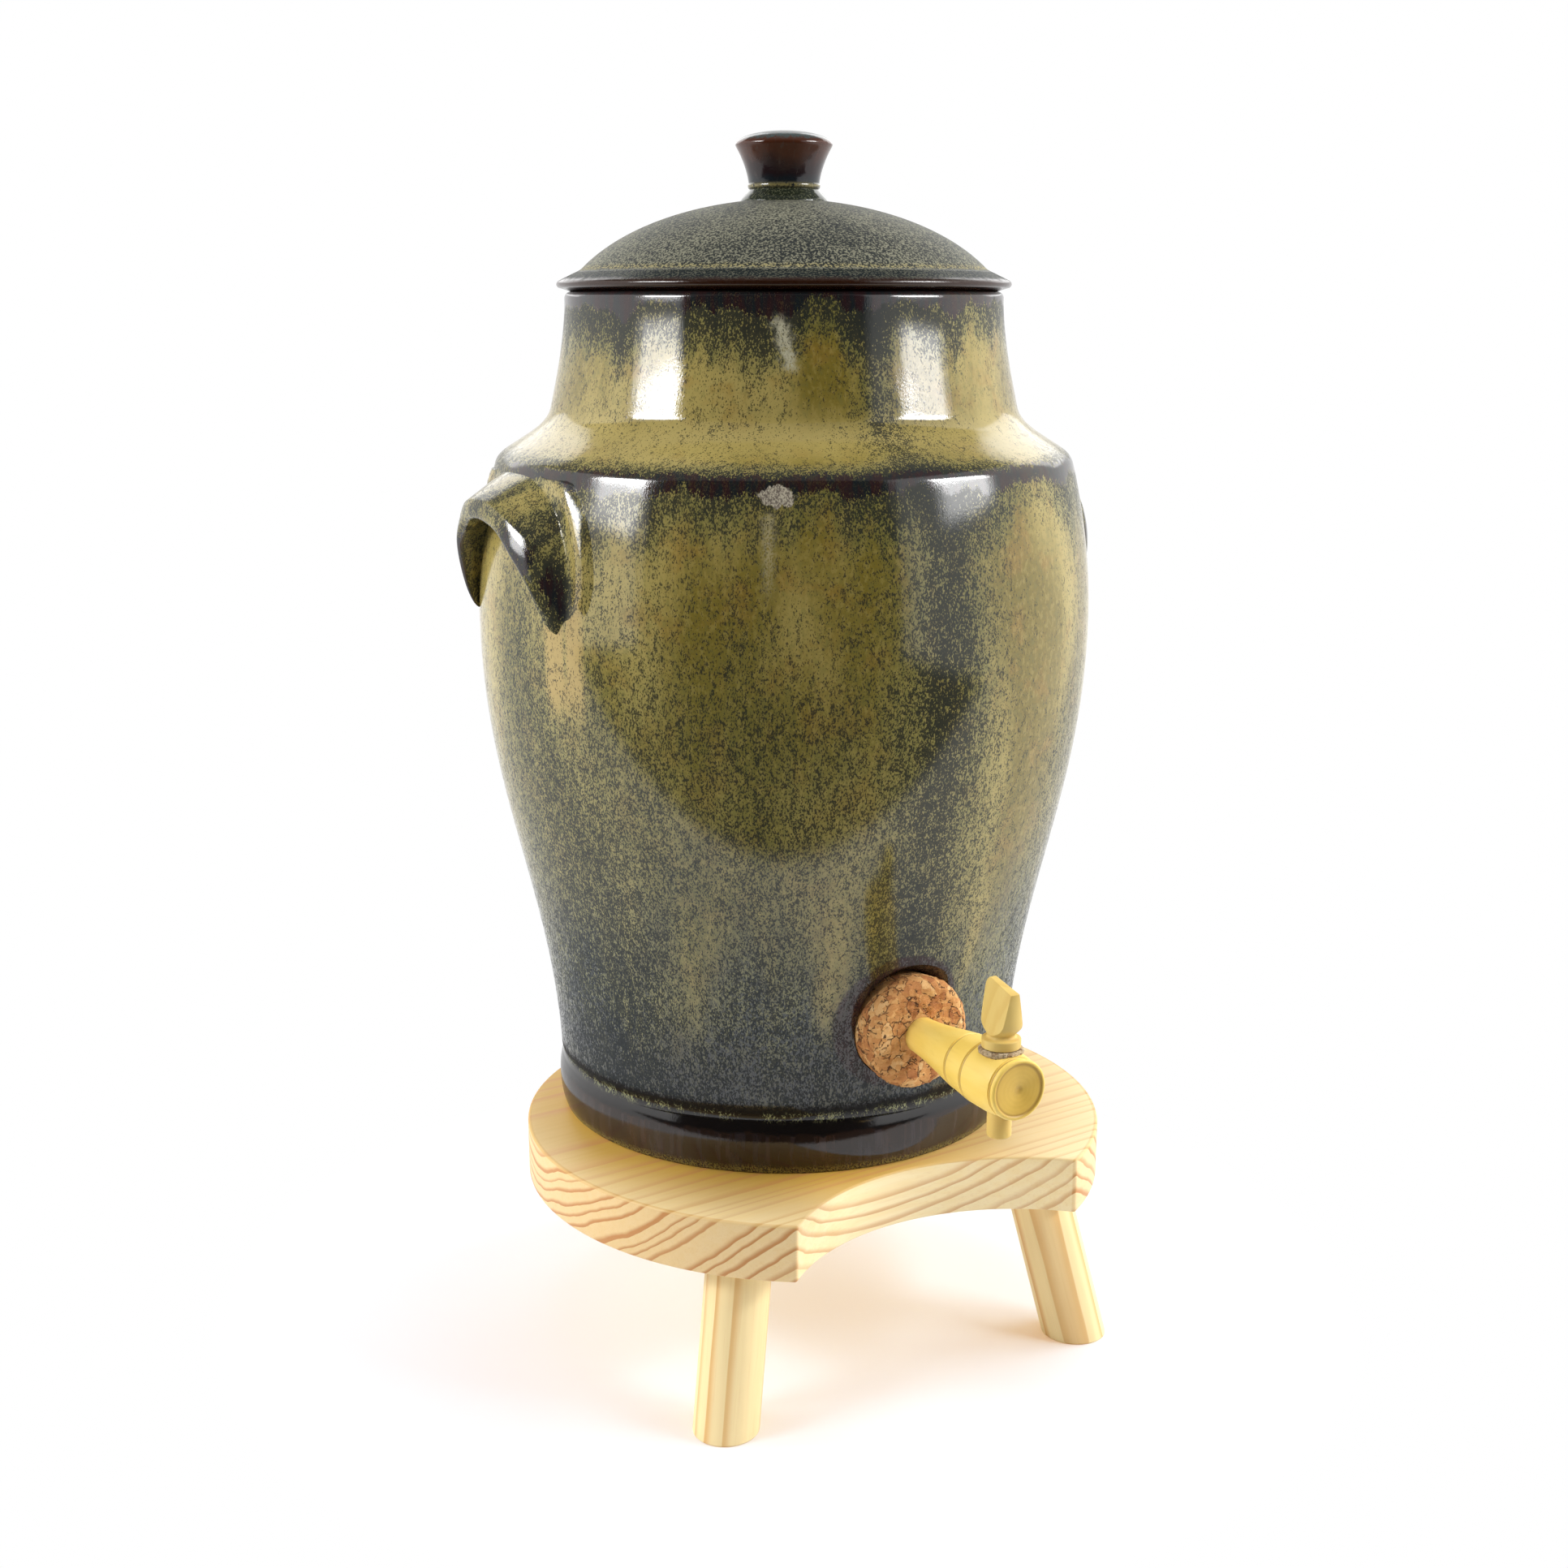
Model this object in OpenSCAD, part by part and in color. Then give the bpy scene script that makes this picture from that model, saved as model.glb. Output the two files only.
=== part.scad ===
// Stoneware vinegar crock with a lid and a wooden tap, standing on a three-legged stool.
// Millimetres. The floor is z = 0, the tap points along -Y and the handles along -X and +X.

/* [Stool] */
// Radius of the seat board
seat_r = 95.5; // [92:0.5:110]
// Thickness of the seat board
seat_t = 18; // [15:0.5:26]
// Height of the seat's underside above the floor
seat_under = 53; // [40:1:100]
// How far the seat's centre lies in front of the crock's axis
seat_forward = 20; // [10:0.5:22]
// Chamfer that eases the seat's rim
seat_ease = 0.8; // [0.2:0.1:2]
// Radius of the hollow cut out of the seat under the tap
notch_r = 73.5; // [60:0.5:90]
// Board left between the crock's foot and the hollow
notch_margin = 5; // [2:0.5:12]
// Diameter of a leg
leg_d = 20.5; // [16:0.5:24]
// Distance from the seat's rim to the ring on which the legs enter its underside
leg_inset = 19.1; // [17:0.1:28]
// Angle of each front leg from the tap's direction
leg_spread = 46; // [44:1:65]
// Outward lean of a leg
leg_splay = 15; // [5:1:18]
// Depth of a leg's socket, along the leg
socket_depth = 12; // [8:0.5:13]
// Clearance round a leg in its socket
leg_fit = 0.05; // [0.02:0.01:0.1]

/* [Crock] */
// Height of the crock's rim above its foot
crock_h = 267.5; // [260:0.5:285]
// Radius of the waist just above the foot groove
foot_r = 76; // [70:0.5:80]
// Height of the groove above the foot
groove_h = 18; // [12:0.5:24]
// Width of the groove
groove_w = 4; // [2:0.2:6]
// Depth of the groove
groove_depth = 0.7; // [0.3:0.1:1.5]
// How far the foot swells beyond the waist
foot_swell = 1.7; // [0.5:0.1:3]
// How far the foot's lower edge is tucked in
foot_tuck = 0.6; // [0.2:0.1:2]
// Largest radius of the belly
belly_r = 99; // [94:0.5:106]
// Height of the widest place above the groove
belly_rise = 148; // [120:1:170]
// Radius just under the shoulder ridge
ridge_r = 93.2; // [90:0.2:94]
// Height of the shoulder ridge above the widest place
ridge_rise = 46; // [42:1:60]
// How far the ridge rounds inwards
ridge_in = 4.8; // [3:0.2:6]
// Height over which the ridge rounds inwards
ridge_round = 7.4; // [5:0.2:9]
// Radius at the bottom of the neck
neck_r = 74.5; // [72:0.5:78]
// Height of the hollow between ridge and neck
cove_rise = 12.6; // [10:0.2:18]
// Radius of the rim
rim_r = 69.4; // [66:0.2:71]
// Rounding of the rim's edges
rim_round = 2; // [1:0.2:2.6]
// Thickness of the wall
wall = 7; // [6:0.2:9]
// Thickness of the bottom
bottom_t = 9; // [7:0.5:12]
// How much lower the inside turns into the neck, which keeps the shoulder's wall thick
inner_drop = 3; // [1:0.2:5]

/* [Handles] */
// How far a handle's lip stands out beyond the belly
lug_reach = 7.6; // [6:0.2:12]
// Radius of a handle where it meets the wall
lug_root_r = 43; // [38:0.5:46]
// Radius of a handle at its lip
lug_lip_r = 23.5; // [20:0.5:28]
// Depth of a handle's centre below the ridge
lug_drop = 35.5; // [34:0.5:40]
// Thickness of the lip
lip_t = 2.6; // [2:0.1:5]
// Radius of the finger hollow under a handle
finger_r = 37.5; // [32:0.5:40]
// Upward slope of the finger hollow
finger_tilt = 20; // [10:1:28]
// Depth of a handle's tips below its centre
tip_drop = 5.5; // [2:0.5:8]
// How deep the handle's clay is worked into the wall
lug_root = 3.5; // [2.5:0.1:4]

/* [Lid] */
// Radius of the lid
lid_r = 71.8; // [71.4:0.2:78]
// Thickness of the lid's edge
lid_edge_t = 3.4; // [2.8:0.2:5]
// Rounding of the lid's edge
lid_round = 1.2; // [0.8:0.1:1.4]
// Radius at which the dome springs from the sloping flange
dome_r = 63; // [60:0.5:65]
// Height of the dome's spring above the lid's edge
flange_rise = 3.6; // [2:0.2:5]
// Height of the dome above its spring
dome_rise = 23; // [18:0.5:30]
// Thickness of the dome
dome_t = 6.2; // [5:0.2:8]
// Depth of the ring that keeps the lid in the neck
ring_depth = 9; // [6:0.5:14]
// Thickness of that ring
ring_t = 5.5; // [4.5:0.1:6.5]
// Clearance between that ring and the neck
lid_fit = 2; // [1.5:0.1:3]

/* [Knob] */
// Radius of the knob's foot
knob_foot_r = 18.2; // [15:0.2:20]
// Radius of the knob's waist
knob_waist_r = 12.4; // [9:0.2:14]
// Radius of the knob's rim
knob_rim_r = 15.8; // [14.6:0.2:18]
// Height of the knob's waist above the dome's top
waist_rise = 4.6; // [3.6:0.2:7]
// Height of the knob's rim above its waist
knob_rim_rise = 8.8; // [7:0.2:12]
// Height of the crown above the rim
crown_rise = 5.4; // [4:0.2:8]
// How deep the knob's clay is worked into the dome
knob_root = 2; // [1.6:0.1:3]

/* [Tap] */
// Height of the tap's axis above the crock's foot
tap_h = 46.5; // [44:0.5:60]
// Radius of the cork's front
bung_r = 18; // [15:0.5:20]
// Length of the cork
bung_l = 28; // [24:0.5:34]
// Change of the cork's radius per millimetre of length
bung_taper = 0.1; // [0.04:0.01:0.14]
// How far the cork stands out of the wall
bung_proud = 9; // [6:0.5:12]
// Rounding of the cork's front edge
bung_round = 3.5; // [1:0.5:5]
// Clearance round the cork in its hole
bung_fit = 0.05; // [0.02:0.01:0.1]
// Width of the eased edge of the hole
hole_ease = 1.6; // [0.6:0.2:2.4]
// Radius of the barrel's shank at the cork's front
shank_r = 5.6; // [5:0.1:6.6]
// Radius of the shank's inner tip
shank_tip_r = 4.6; // [4:0.1:4.9]
// How far the shank stands out of the cork inside the crock
shank_out = 10; // [4:0.5:14]
// Clearance round the shank in the cork
shank_fit = 0.03; // [0.01:0.01:0.05]
// Length of the barrel in front of the cork
barrel_l = 52; // [50:0.5:62]
// Largest radius of the barrel
barrel_r = 9.8; // [9.6:0.1:11]
// Radius where the flare meets the first ring
flare_r = 8.9; // [8:0.1:9.4]
// Length of the flare in front of the cork
flare_l = 26.5; // [20:0.5:28]
// Distance of the second ring from the first
ring_gap = 9.4; // [6:0.2:9.6]
// Depth of the turned rings
ring_cut = 0.45; // [0.2:0.05:0.8]
// Width of the turned rings
ring_w = 1.2; // [0.8:0.1:1.6]
// Length of the bead at the barrel's end
bead_l = 2.2; // [1.6:0.1:2.8]
// Radius of that bead
bead_r = 9; // [8.6:0.1:9.5]
// Chamfer of that bead
bead_ease = 0.6; // [0.2:0.1:0.9]
// Depth of the turned recess in the barrel's end
face_recess = 0.5; // [0.2:0.1:1]
// Width of the rim round that recess
face_rim = 1.7; // [1:0.1:2.5]
// Radius of the bore along the barrel
bore_r = 2.2; // [1.5:0.1:2.8]

/* [Key] */
// Distance of the key's axis from the barrel's end
key_back = 9.6; // [9:0.2:10]
// Radius of the plug that turns in the sleeve
plug_r = 4.2; // [4:0.1:4.5]
// Running clearance round the plug
plug_fit = 0.05; // [0.02:0.01:0.1]
// Thickness of the cork sleeve
sleeve_t = 1.1; // [0.8:0.1:1.3]
// Clearance round the sleeve in the barrel
sleeve_fit = 0.03; // [0.01:0.01:0.05]
// Height of the flat on the barrel above its axis
pad_h = 8.2; // [7.6:0.1:8.8]
// Width of the flat round the sleeve
pad_margin = 0.6; // [0.3:0.1:0.9]
// How far the sleeve stands out of the flat
sleeve_proud = 1.2; // [0.6:0.1:2]
// Depth of the sleeve's seat below the barrel's axis
sleeve_seat = 7.8; // [6.5:0.1:8.2]
// Gap that keeps the key clear of the sleeve and its seat
key_gap = 0.3; // [0.2:0.05:0.5]
// Radius of the collar
collar_r = 5; // [4.6:0.1:5.6]
// Height of the collar
collar_h = 2.4; // [1.6:0.1:3.4]
// Chamfer of the collar
collar_ease = 0.4; // [0.2:0.1:0.6]
// Radius of the neck between collar and thumb piece
key_neck_r = 3.6; // [3:0.1:3.9]
// Height of that neck
key_neck_h = 1.6; // [1:0.1:3]
// How far that neck runs up into the thumb piece
key_root = 0.2; // [0.1:0.1:1]
// Height of the thumb piece at its high end
thumb_h = 16.8; // [13:0.2:22]
// Fall of the thumb piece's top towards the front
thumb_fall = 4.4; // [1:0.2:6]
// Length of the thumb piece along the barrel
thumb_l = 13; // [10:0.2:16]
// Height at which the thumb piece reaches that length
thumb_waist = 4.2; // [2:0.2:6]
// Thickness of the thumb piece at its foot
thumb_foot_t = 6.8; // [5:0.2:7]
// Thickness of the thumb piece at its top
thumb_top_t = 3.2; // [2:0.2:4.6]
// Corner cut of the thumb piece
thumb_corner = 2; // [0.5:0.1:3]
// Radius of the spout
spout_r = 3.6; // [3.2:0.1:3.9]
// Length of the spout below the barrel
spout_l = 9.2; // [6:0.2:16]
// Clearance round the spout in the barrel
spout_fit = 0.4; // [0.3:0.05:0.6]
// Radius of the spout's bore
spout_bore_r = 2; // [1.4:0.1:2.4]

/* [Hidden] */
$fn = 96;
// Extra length that carries a cut past the face that it opens
past = 1;

// Heights along the crock, from its foot
waist_z = groove_h + groove_w / 2;
belly_z = groove_h + belly_rise;
ridge_z = belly_z + ridge_rise;
cove_z = ridge_z + ridge_round;
neck_z = cove_z + cove_rise;
rim_z = crock_h;
neck_rise = rim_z - neck_z;
shoulder_r = ridge_r - ridge_in;

// Leans of the crock's outline, as radius gained per millimetre of height
waist_lean = 0.055;
ridge_lean = -0.26;
shoulder_lean = -1.5;
neck_lean = -0.22;

// Curves and arcs as lists of [radius, height]; reach is how far a curve follows its end's direction
function bez(a, b, c, d, t) =
    pow(1 - t, 3) * a + 3 * pow(1 - t, 2) * t * b + 3 * (1 - t) * t * t * c + pow(t, 3) * d;
function curve(a, b, c, d, n) = [for (i = [0:n - 1]) bez(a, b, c, d, i / n)];
function arc(cx, cy, r, from, to, n) =
    [for (i = [0:n]) let (a = from + (to - from) * i / n) [cx + r * cos(a), cy + r * sin(a)]];
function along(start, lean, reach) = start + reach * [lean, 1];
function ring(r, at) = [[r, at - ring_w / 2], [r - ring_cut, at], [r, at + ring_w / 2]];
function reversed(p) = [for (i = [len(p) - 1:-1:0]) p[i]];

// Stretches of the crock's side; inset and drop move them inwards and down for the inner face
function low_belly(inset) =
    let (a = [foot_r - inset, waist_z], d = [belly_r - inset, belly_z])
    curve(a, along(a, waist_lean, 0.38 * belly_rise), along(d, 0, -0.39 * belly_rise), d, 14);
function high_belly(inset, drop) =
    let (a = [belly_r - inset, belly_z], d = [ridge_r - inset, ridge_z - drop])
    curve(a, along(a, 0, 0.4 * ridge_rise), along(d, ridge_lean, -0.22 * ridge_rise), d, 7);
function ridge(inset, drop) =
    let (a = [ridge_r - inset, ridge_z - drop], d = [shoulder_r - inset, cove_z - drop])
    curve(a, along(a, ridge_lean, 0.5 * ridge_round), along(d, shoulder_lean, -0.26 * ridge_round), d, 5);
function cove(inset, drop) =
    let (a = [shoulder_r - inset, cove_z - drop], d = [neck_r - inset, neck_z - drop])
    curve(a, along(a, shoulder_lean, 0.35 * cove_rise), along(d, neck_lean, -0.44 * cove_rise), d, 7);
function neck(inset, drop) =
    let (a = [neck_r - inset, neck_z - drop], d = [rim_r - inset, rim_z - rim_round])
    curve(a, along(a, neck_lean, 0.25 * neck_rise), along(d, 0, -0.35 * neck_rise), d, 6);
function side(inset, drop) = concat(
    low_belly(inset), high_belly(inset, drop), ridge(inset, drop), cove(inset, drop), neck(inset, drop));
function foot() =
    let (a = [foot_r - foot_tuck, 0], d = [foot_r, groove_h - groove_w / 2], out = [foot_swell, 0])
    concat(curve(a, a + out + [0, 0.17 * groove_h], d + out - [0, 0.24 * groove_h], d, 6),
        [d, [foot_r - groove_depth, groove_h]]);

// Places of the crock and the tap
seat_top = seat_under + seat_t;
wall_at_tap = lookup(tap_h, [for (p = low_belly(0)) [p[1], p[0]]]);
bung_face = wall_at_tap + bung_proud;
tap_reach = bung_face + barrel_l;
key_at = tap_reach - key_back;
// The crock stands so that the whole object is centred between its back and the tap's end
crock_y = (tap_reach - belly_r) / 2;
seat_y = crock_y - seat_forward;
leg_ring = seat_r - leg_inset;
notch_y = crock_y - foot_r - notch_margin - notch_r;
module at_crock() { translate([0, crock_y, seat_top]) children(); }
// The tap's frame has its +Z along the barrel, away from the crock
module at_tap() { translate([0, crock_y - bung_face, seat_top + tap_h]) rotate([90, 0, 0]) children(); }
module at_key() { translate([0, crock_y - key_at, seat_top + tap_h]) children(); }

// Handles, drawn towards +X
lug_x = belly_r + lug_reach;
lug_z = ridge_z - lug_drop;
lug_base_x = ridge_r - wall;
finger_z = lug_z + lug_lip_r - lip_t - finger_r / cos(finger_tilt);

// Lid heights, from the crock's rim
spring_z = lid_edge_t + flange_rise;
dome_top = spring_z + dome_rise;
ring_r = rim_r - wall - lid_fit;
flange_turn = 90 - atan(flange_rise / (lid_r - dome_r));

// Key heights, from the barrel's axis
sleeve_r = plug_r + plug_fit + sleeve_t;
sleeve_top = pad_h + sleeve_proud;
collar_z = sleeve_top + key_gap;
key_neck_z = collar_z + collar_h;
thumb_z = key_neck_z + key_neck_h;
plug_end = sleeve_seat - key_gap;

module crock_body() {
    color("#6d6a3c") at_crock() difference() {
        rotate_extrude() polygon(concat(
            [[0, 0]], foot(), side(0, 0),
            arc(rim_r - rim_round, rim_z - rim_round, rim_round, 0, 90, 4),
            arc(rim_r - wall + rim_round, rim_z - rim_round, rim_round, 90, 180, 4),
            reversed(side(wall, inner_drop)),
            [[foot_r - wall, waist_z], [foot_r - wall - waist_z + bottom_t, bottom_t], [0, bottom_t]]));
        bung_hole();
    }
}

module bung_hole() {
    depth = bung_proud + 2 * wall;
    translate([0, -bung_face, tap_h]) rotate([90, 0, 0]) {
        translate([0, 0, -depth])
            cylinder(h = depth, r1 = bung_at(-depth) + bung_fit, r2 = bung_r + bung_fit);
        translate([0, 0, -bung_proud - hole_ease])
            cylinder(h = 2 * hole_ease, r1 = bung_at(-bung_proud), r2 = bung_at(-bung_proud) + 2 * hole_ease);
    }
}

function bung_at(z) = bung_r + bung_taper * z;

module lug() {
    difference() {
        translate([lug_base_x, 0, lug_z]) rotate([0, 90, 0])
            cylinder(h = lug_x - lug_base_x, r1 = lug_root_r, r2 = lug_lip_r);
        translate([lug_x, 0, finger_z]) rotate([0, 90 + finger_tilt, 0])
            cylinder(h = 2 * lug_x, r = finger_r, center = true);
        translate([0, -lug_x, 0]) cube([2 * lug_x, 2 * lug_x, lug_z - tip_drop]);
        translate([0, 0, belly_z])
            cylinder(h = 2 * ridge_rise, r1 = belly_r - lug_root, r2 = 2 * ridge_r - belly_r - lug_root);
        cylinder(h = belly_z + past, r = belly_r - lug_root);
    }
}

module right_handle() { color("#77703c") at_crock() lug(); }

module left_handle() { color("#77703c") at_crock() mirror([1, 0, 0]) lug(); }

module lid() {
    under = dome_top - dome_t;
    ring_in = ring_r - ring_t;
    color("#55563f") at_crock() translate([0, 0, rim_z]) rotate_extrude() polygon(concat(
        [[0, under], [0, dome_top]],
        reversed(curve([dome_r, spring_z], [0.83 * dome_r, spring_z + 0.53 * dome_rise],
            [0.48 * dome_r, dome_top - 0.03 * dome_rise], [0, dome_top], 12)),
        arc(lid_r - lid_round, lid_edge_t - lid_round, lid_round, flange_turn, -90, 6),
        [[rim_r - rim_round, 0], [ring_r, 0], [ring_r, -ring_depth], [ring_in, -ring_depth]],
        curve([ring_in, 0], [0.89 * ring_in, spring_z + 0.4 * dome_rise - dome_t],
            [0.51 * ring_in, under - 0.03 * dome_rise], [0, under], 10)));
}

module lid_knob() {
    waist = [knob_waist_r, waist_rise];
    lip = [knob_rim_r, waist_rise + knob_rim_rise];
    crown = lip[1] + crown_rise;
    color("#4a2a1c") at_crock() translate([0, 0, rim_z + dome_top]) rotate_extrude() polygon(concat(
        [[0, -knob_root], [knob_foot_r, -knob_root]],
        curve([knob_foot_r, -0.6 * knob_root], [knob_waist_r + 0.28 * (knob_foot_r - knob_waist_r), 0],
            along(waist, 0, -0.55 * waist_rise), waist, 6),
        curve(waist, along(waist, 0, 0.36 * knob_rim_rise), along(lip, 0, -0.45 * knob_rim_rise), lip, 7),
        curve(lip, along(lip, 0, 0.48 * crown_rise), [0.8 * knob_rim_r, crown - 0.18 * crown_rise],
            [0.56 * knob_rim_r, crown - 0.09 * crown_rise], 5),
        [[0.56 * knob_rim_r, crown - 0.09 * crown_rise], [0, crown]]));
}

module cork_bung() {
    color("#c08b57") at_tap() difference() {
        rotate_extrude() polygon(concat(
            [[0, -bung_l], [bung_at(-bung_l), -bung_l]],
            arc(bung_at(-bung_round) - bung_round, -bung_round, bung_round, 0, 90, 5),
            [[0, 0]]));
        translate([0, 0, -bung_l - shank_out])
            cylinder(h = bung_l + shank_out, r1 = shank_tip_r + shank_fit, r2 = shank_r + shank_fit);
        translate([0, 0, -past]) cylinder(h = 2 * past, r = shank_r + shank_fit);
    }
}

module tap_barrel() {
    tip = -bung_l - shank_out;
    flare_end = [flare_r, flare_l - ring_w / 2];
    pad_r = sleeve_r + pad_margin;
    color("#d8b04e") at_tap() difference() {
        rotate_extrude() polygon(concat(
            [[0, tip], [shank_tip_r, tip]],
            curve([shank_r, 0], along([shank_r, 0], 0.04, 0.34 * flare_l),
                along(flare_end, 0.14, -0.3 * flare_l), flare_end, 6),
            ring(flare_r, flare_l), ring(barrel_r, flare_l + ring_gap),
            [[barrel_r, barrel_l - key_back]], ring(bead_r, barrel_l - bead_l),
            [[bead_r, barrel_l - bead_ease], [bead_r - bead_ease, barrel_l], [bead_r - face_rim, barrel_l],
            [bead_r - face_rim - face_recess, barrel_l - face_recess], [0, barrel_l - face_recess]]));
        translate([0, 0, tip - past]) cylinder(h = barrel_l - key_back - tip + past, r = bore_r);
        translate([0, 0, barrel_l - key_back]) rotate([-90, 0, 0]) {
            translate([0, 0, pad_h]) cylinder(h = barrel_r, r = pad_r);
            translate([0, 0, -sleeve_seat]) cylinder(h = 2 * barrel_r, r = sleeve_r + sleeve_fit);
            translate([0, 0, -2 * barrel_r]) cylinder(h = 2 * barrel_r, r = spout_r + spout_fit);
        }
    }
}

module key_sleeve() {
    color("#8a6a48") at_key() difference() {
        translate([0, 0, -sleeve_seat]) cylinder(h = sleeve_seat + sleeve_top, r = sleeve_r);
        translate([0, 0, -sleeve_seat - past])
            cylinder(h = sleeve_seat + sleeve_top + 2 * past, r = plug_r + plug_fit);
        rotate([-90, 0, 0]) cylinder(h = 2 * sleeve_r, r = bore_r);
    }
}

module thumb_piece() {
    half = thumb_l / 2;
    low = thumb_h - thumb_fall;
    intersection() {
        rotate([90, 0, 90]) linear_extrude(height = thumb_foot_t, center = true) polygon([
            [-key_neck_r, 0], [key_neck_r, 0], [half, thumb_waist], [half, thumb_h - 2 * thumb_corner],
            [half - thumb_corner, thumb_h], [half - 2 * thumb_corner, thumb_h],
            [-half + thumb_corner / 2, low], [-half, low - thumb_corner / 2], [-half, thumb_waist]]);
        rotate([90, 0, 0]) linear_extrude(height = 2 * thumb_l, center = true) polygon([
            [-thumb_foot_t / 2, 0], [thumb_foot_t / 2, 0],
            [thumb_top_t / 2, low], [thumb_top_t / 2, thumb_h],
            [-thumb_top_t / 2, thumb_h], [-thumb_top_t / 2, low]]);
    }
}

module tap_key() {
    foot_z = -barrel_r - spout_l;
    color("#e0c070") at_key() {
        difference() {
            rotate_extrude() polygon([
                [0, foot_z], [spout_r, foot_z], [spout_r, -plug_end], [plug_r, -plug_end],
                [plug_r, collar_z], [collar_r - collar_ease, collar_z], [collar_r, collar_z + collar_ease],
                [collar_r, key_neck_z - collar_ease], [collar_r - collar_ease, key_neck_z],
                [key_neck_r, thumb_z], [key_neck_r, thumb_z + key_root], [0, thumb_z + key_root]]);
            translate([0, 0, foot_z - past]) cylinder(h = bore_r + past - foot_z, r = spout_bore_r);
            rotate([0, 90, 0]) cylinder(h = 2 * plug_r, r = spout_bore_r);
        }
        translate([0, 0, thumb_z]) thumb_piece();
    }
}

module at_leg(turn) {
    translate([0, seat_y, seat_under]) rotate([0, 0, turn])
        translate([0, -leg_ring, 0]) rotate([-leg_splay, 0, 0]) children();
}

module leg(turn) {
    reach = 2 * seat_under;
    color("#e2c07c") intersection() {
        at_leg(turn) translate([0, 0, -reach]) cylinder(h = reach + socket_depth, d = leg_d);
        translate([-2 * seat_r, -2 * seat_r, 0]) cube([4 * seat_r, 4 * seat_r, seat_top]);
    }
}

module front_left_leg() { leg(-leg_spread); }

module front_right_leg() { leg(leg_spread); }

module back_leg() { leg(180); }

module stool_seat() {
    color("#e8cc8a") difference() {
        translate([0, seat_y, seat_under]) rotate_extrude() polygon([
            [0, 0], [seat_r - seat_ease, 0], [seat_r, seat_ease],
            [seat_r, seat_t - seat_ease], [seat_r - seat_ease, seat_t], [0, seat_t]]);
        translate([0, notch_y, seat_under - past]) cylinder(h = seat_t + 2 * past, r = notch_r);
        for (turn = [-leg_spread, leg_spread, 180])
            at_leg(turn) translate([0, 0, -leg_d])
                cylinder(h = leg_d + socket_depth, d = leg_d + 2 * leg_fit);
    }
}

crock_body();
left_handle();
right_handle();
lid();
lid_knob();
cork_bung();
tap_barrel();
key_sleeve();
tap_key();
stool_seat();
front_left_leg();
front_right_leg();
back_leg();
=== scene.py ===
"""Stoneware vinegar crock with a wooden tap on a three-legged stool, dressed over its fixed frame.

Sizes are millimetres in the part's own frame: the floor is z = 0, the tap points along -Y and the
handles along -X and +X. Meshes are written in metres.
"""

import logging
import math
from dataclasses import dataclass
from enum import Enum
from typing import Callable, Optional, Sequence, Union

import bmesh
import bpy
from mathutils import Euler, Matrix, Vector, noise
from mathutils.geometry import interpolate_bezier


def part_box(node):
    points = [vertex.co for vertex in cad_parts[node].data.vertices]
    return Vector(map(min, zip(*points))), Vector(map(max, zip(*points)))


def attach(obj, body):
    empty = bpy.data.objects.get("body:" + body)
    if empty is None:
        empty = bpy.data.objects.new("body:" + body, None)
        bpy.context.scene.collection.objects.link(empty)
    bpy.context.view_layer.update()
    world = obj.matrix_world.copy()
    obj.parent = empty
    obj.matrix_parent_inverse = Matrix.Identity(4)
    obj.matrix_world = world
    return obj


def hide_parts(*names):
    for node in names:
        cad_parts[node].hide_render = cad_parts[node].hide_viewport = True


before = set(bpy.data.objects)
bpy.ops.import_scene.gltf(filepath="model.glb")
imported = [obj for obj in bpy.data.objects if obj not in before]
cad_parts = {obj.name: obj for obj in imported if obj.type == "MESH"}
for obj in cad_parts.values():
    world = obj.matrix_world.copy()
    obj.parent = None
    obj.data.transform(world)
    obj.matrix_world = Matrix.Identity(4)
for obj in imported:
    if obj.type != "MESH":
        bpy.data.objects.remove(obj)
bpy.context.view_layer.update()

LOG = logging.getLogger("vinegar_crock")
MM = 0.001
MERGE = 1e-6
FULL_TURN = math.tau

Colour = tuple[float, float, float]
Point = tuple[float, float]
Span = tuple[float, float]
Spot = tuple[float, float, float]
Form = bmesh.types.BMesh


class Body(Enum):
    """The bodies of the frame that a piece can ride on."""

    STOOL = "stool"
    CROCK = "crock"
    LID = "lid"
    KEY = "key"


class Slot(Enum):
    """The record's material slots."""

    CROCK_GLAZE = "crock_glaze"
    LID_GLAZE = "lid_glaze"
    KNOB_GLAZE = "knob_glaze"
    CORK = "cork"
    TAP_WOOD = "tap_wood"
    KEY_WOOD = "key_wood"
    PINE = "pine"


class Side(Enum):
    """The two handles, by the sign of X."""

    LEFT = -1
    RIGHT = 1


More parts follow.
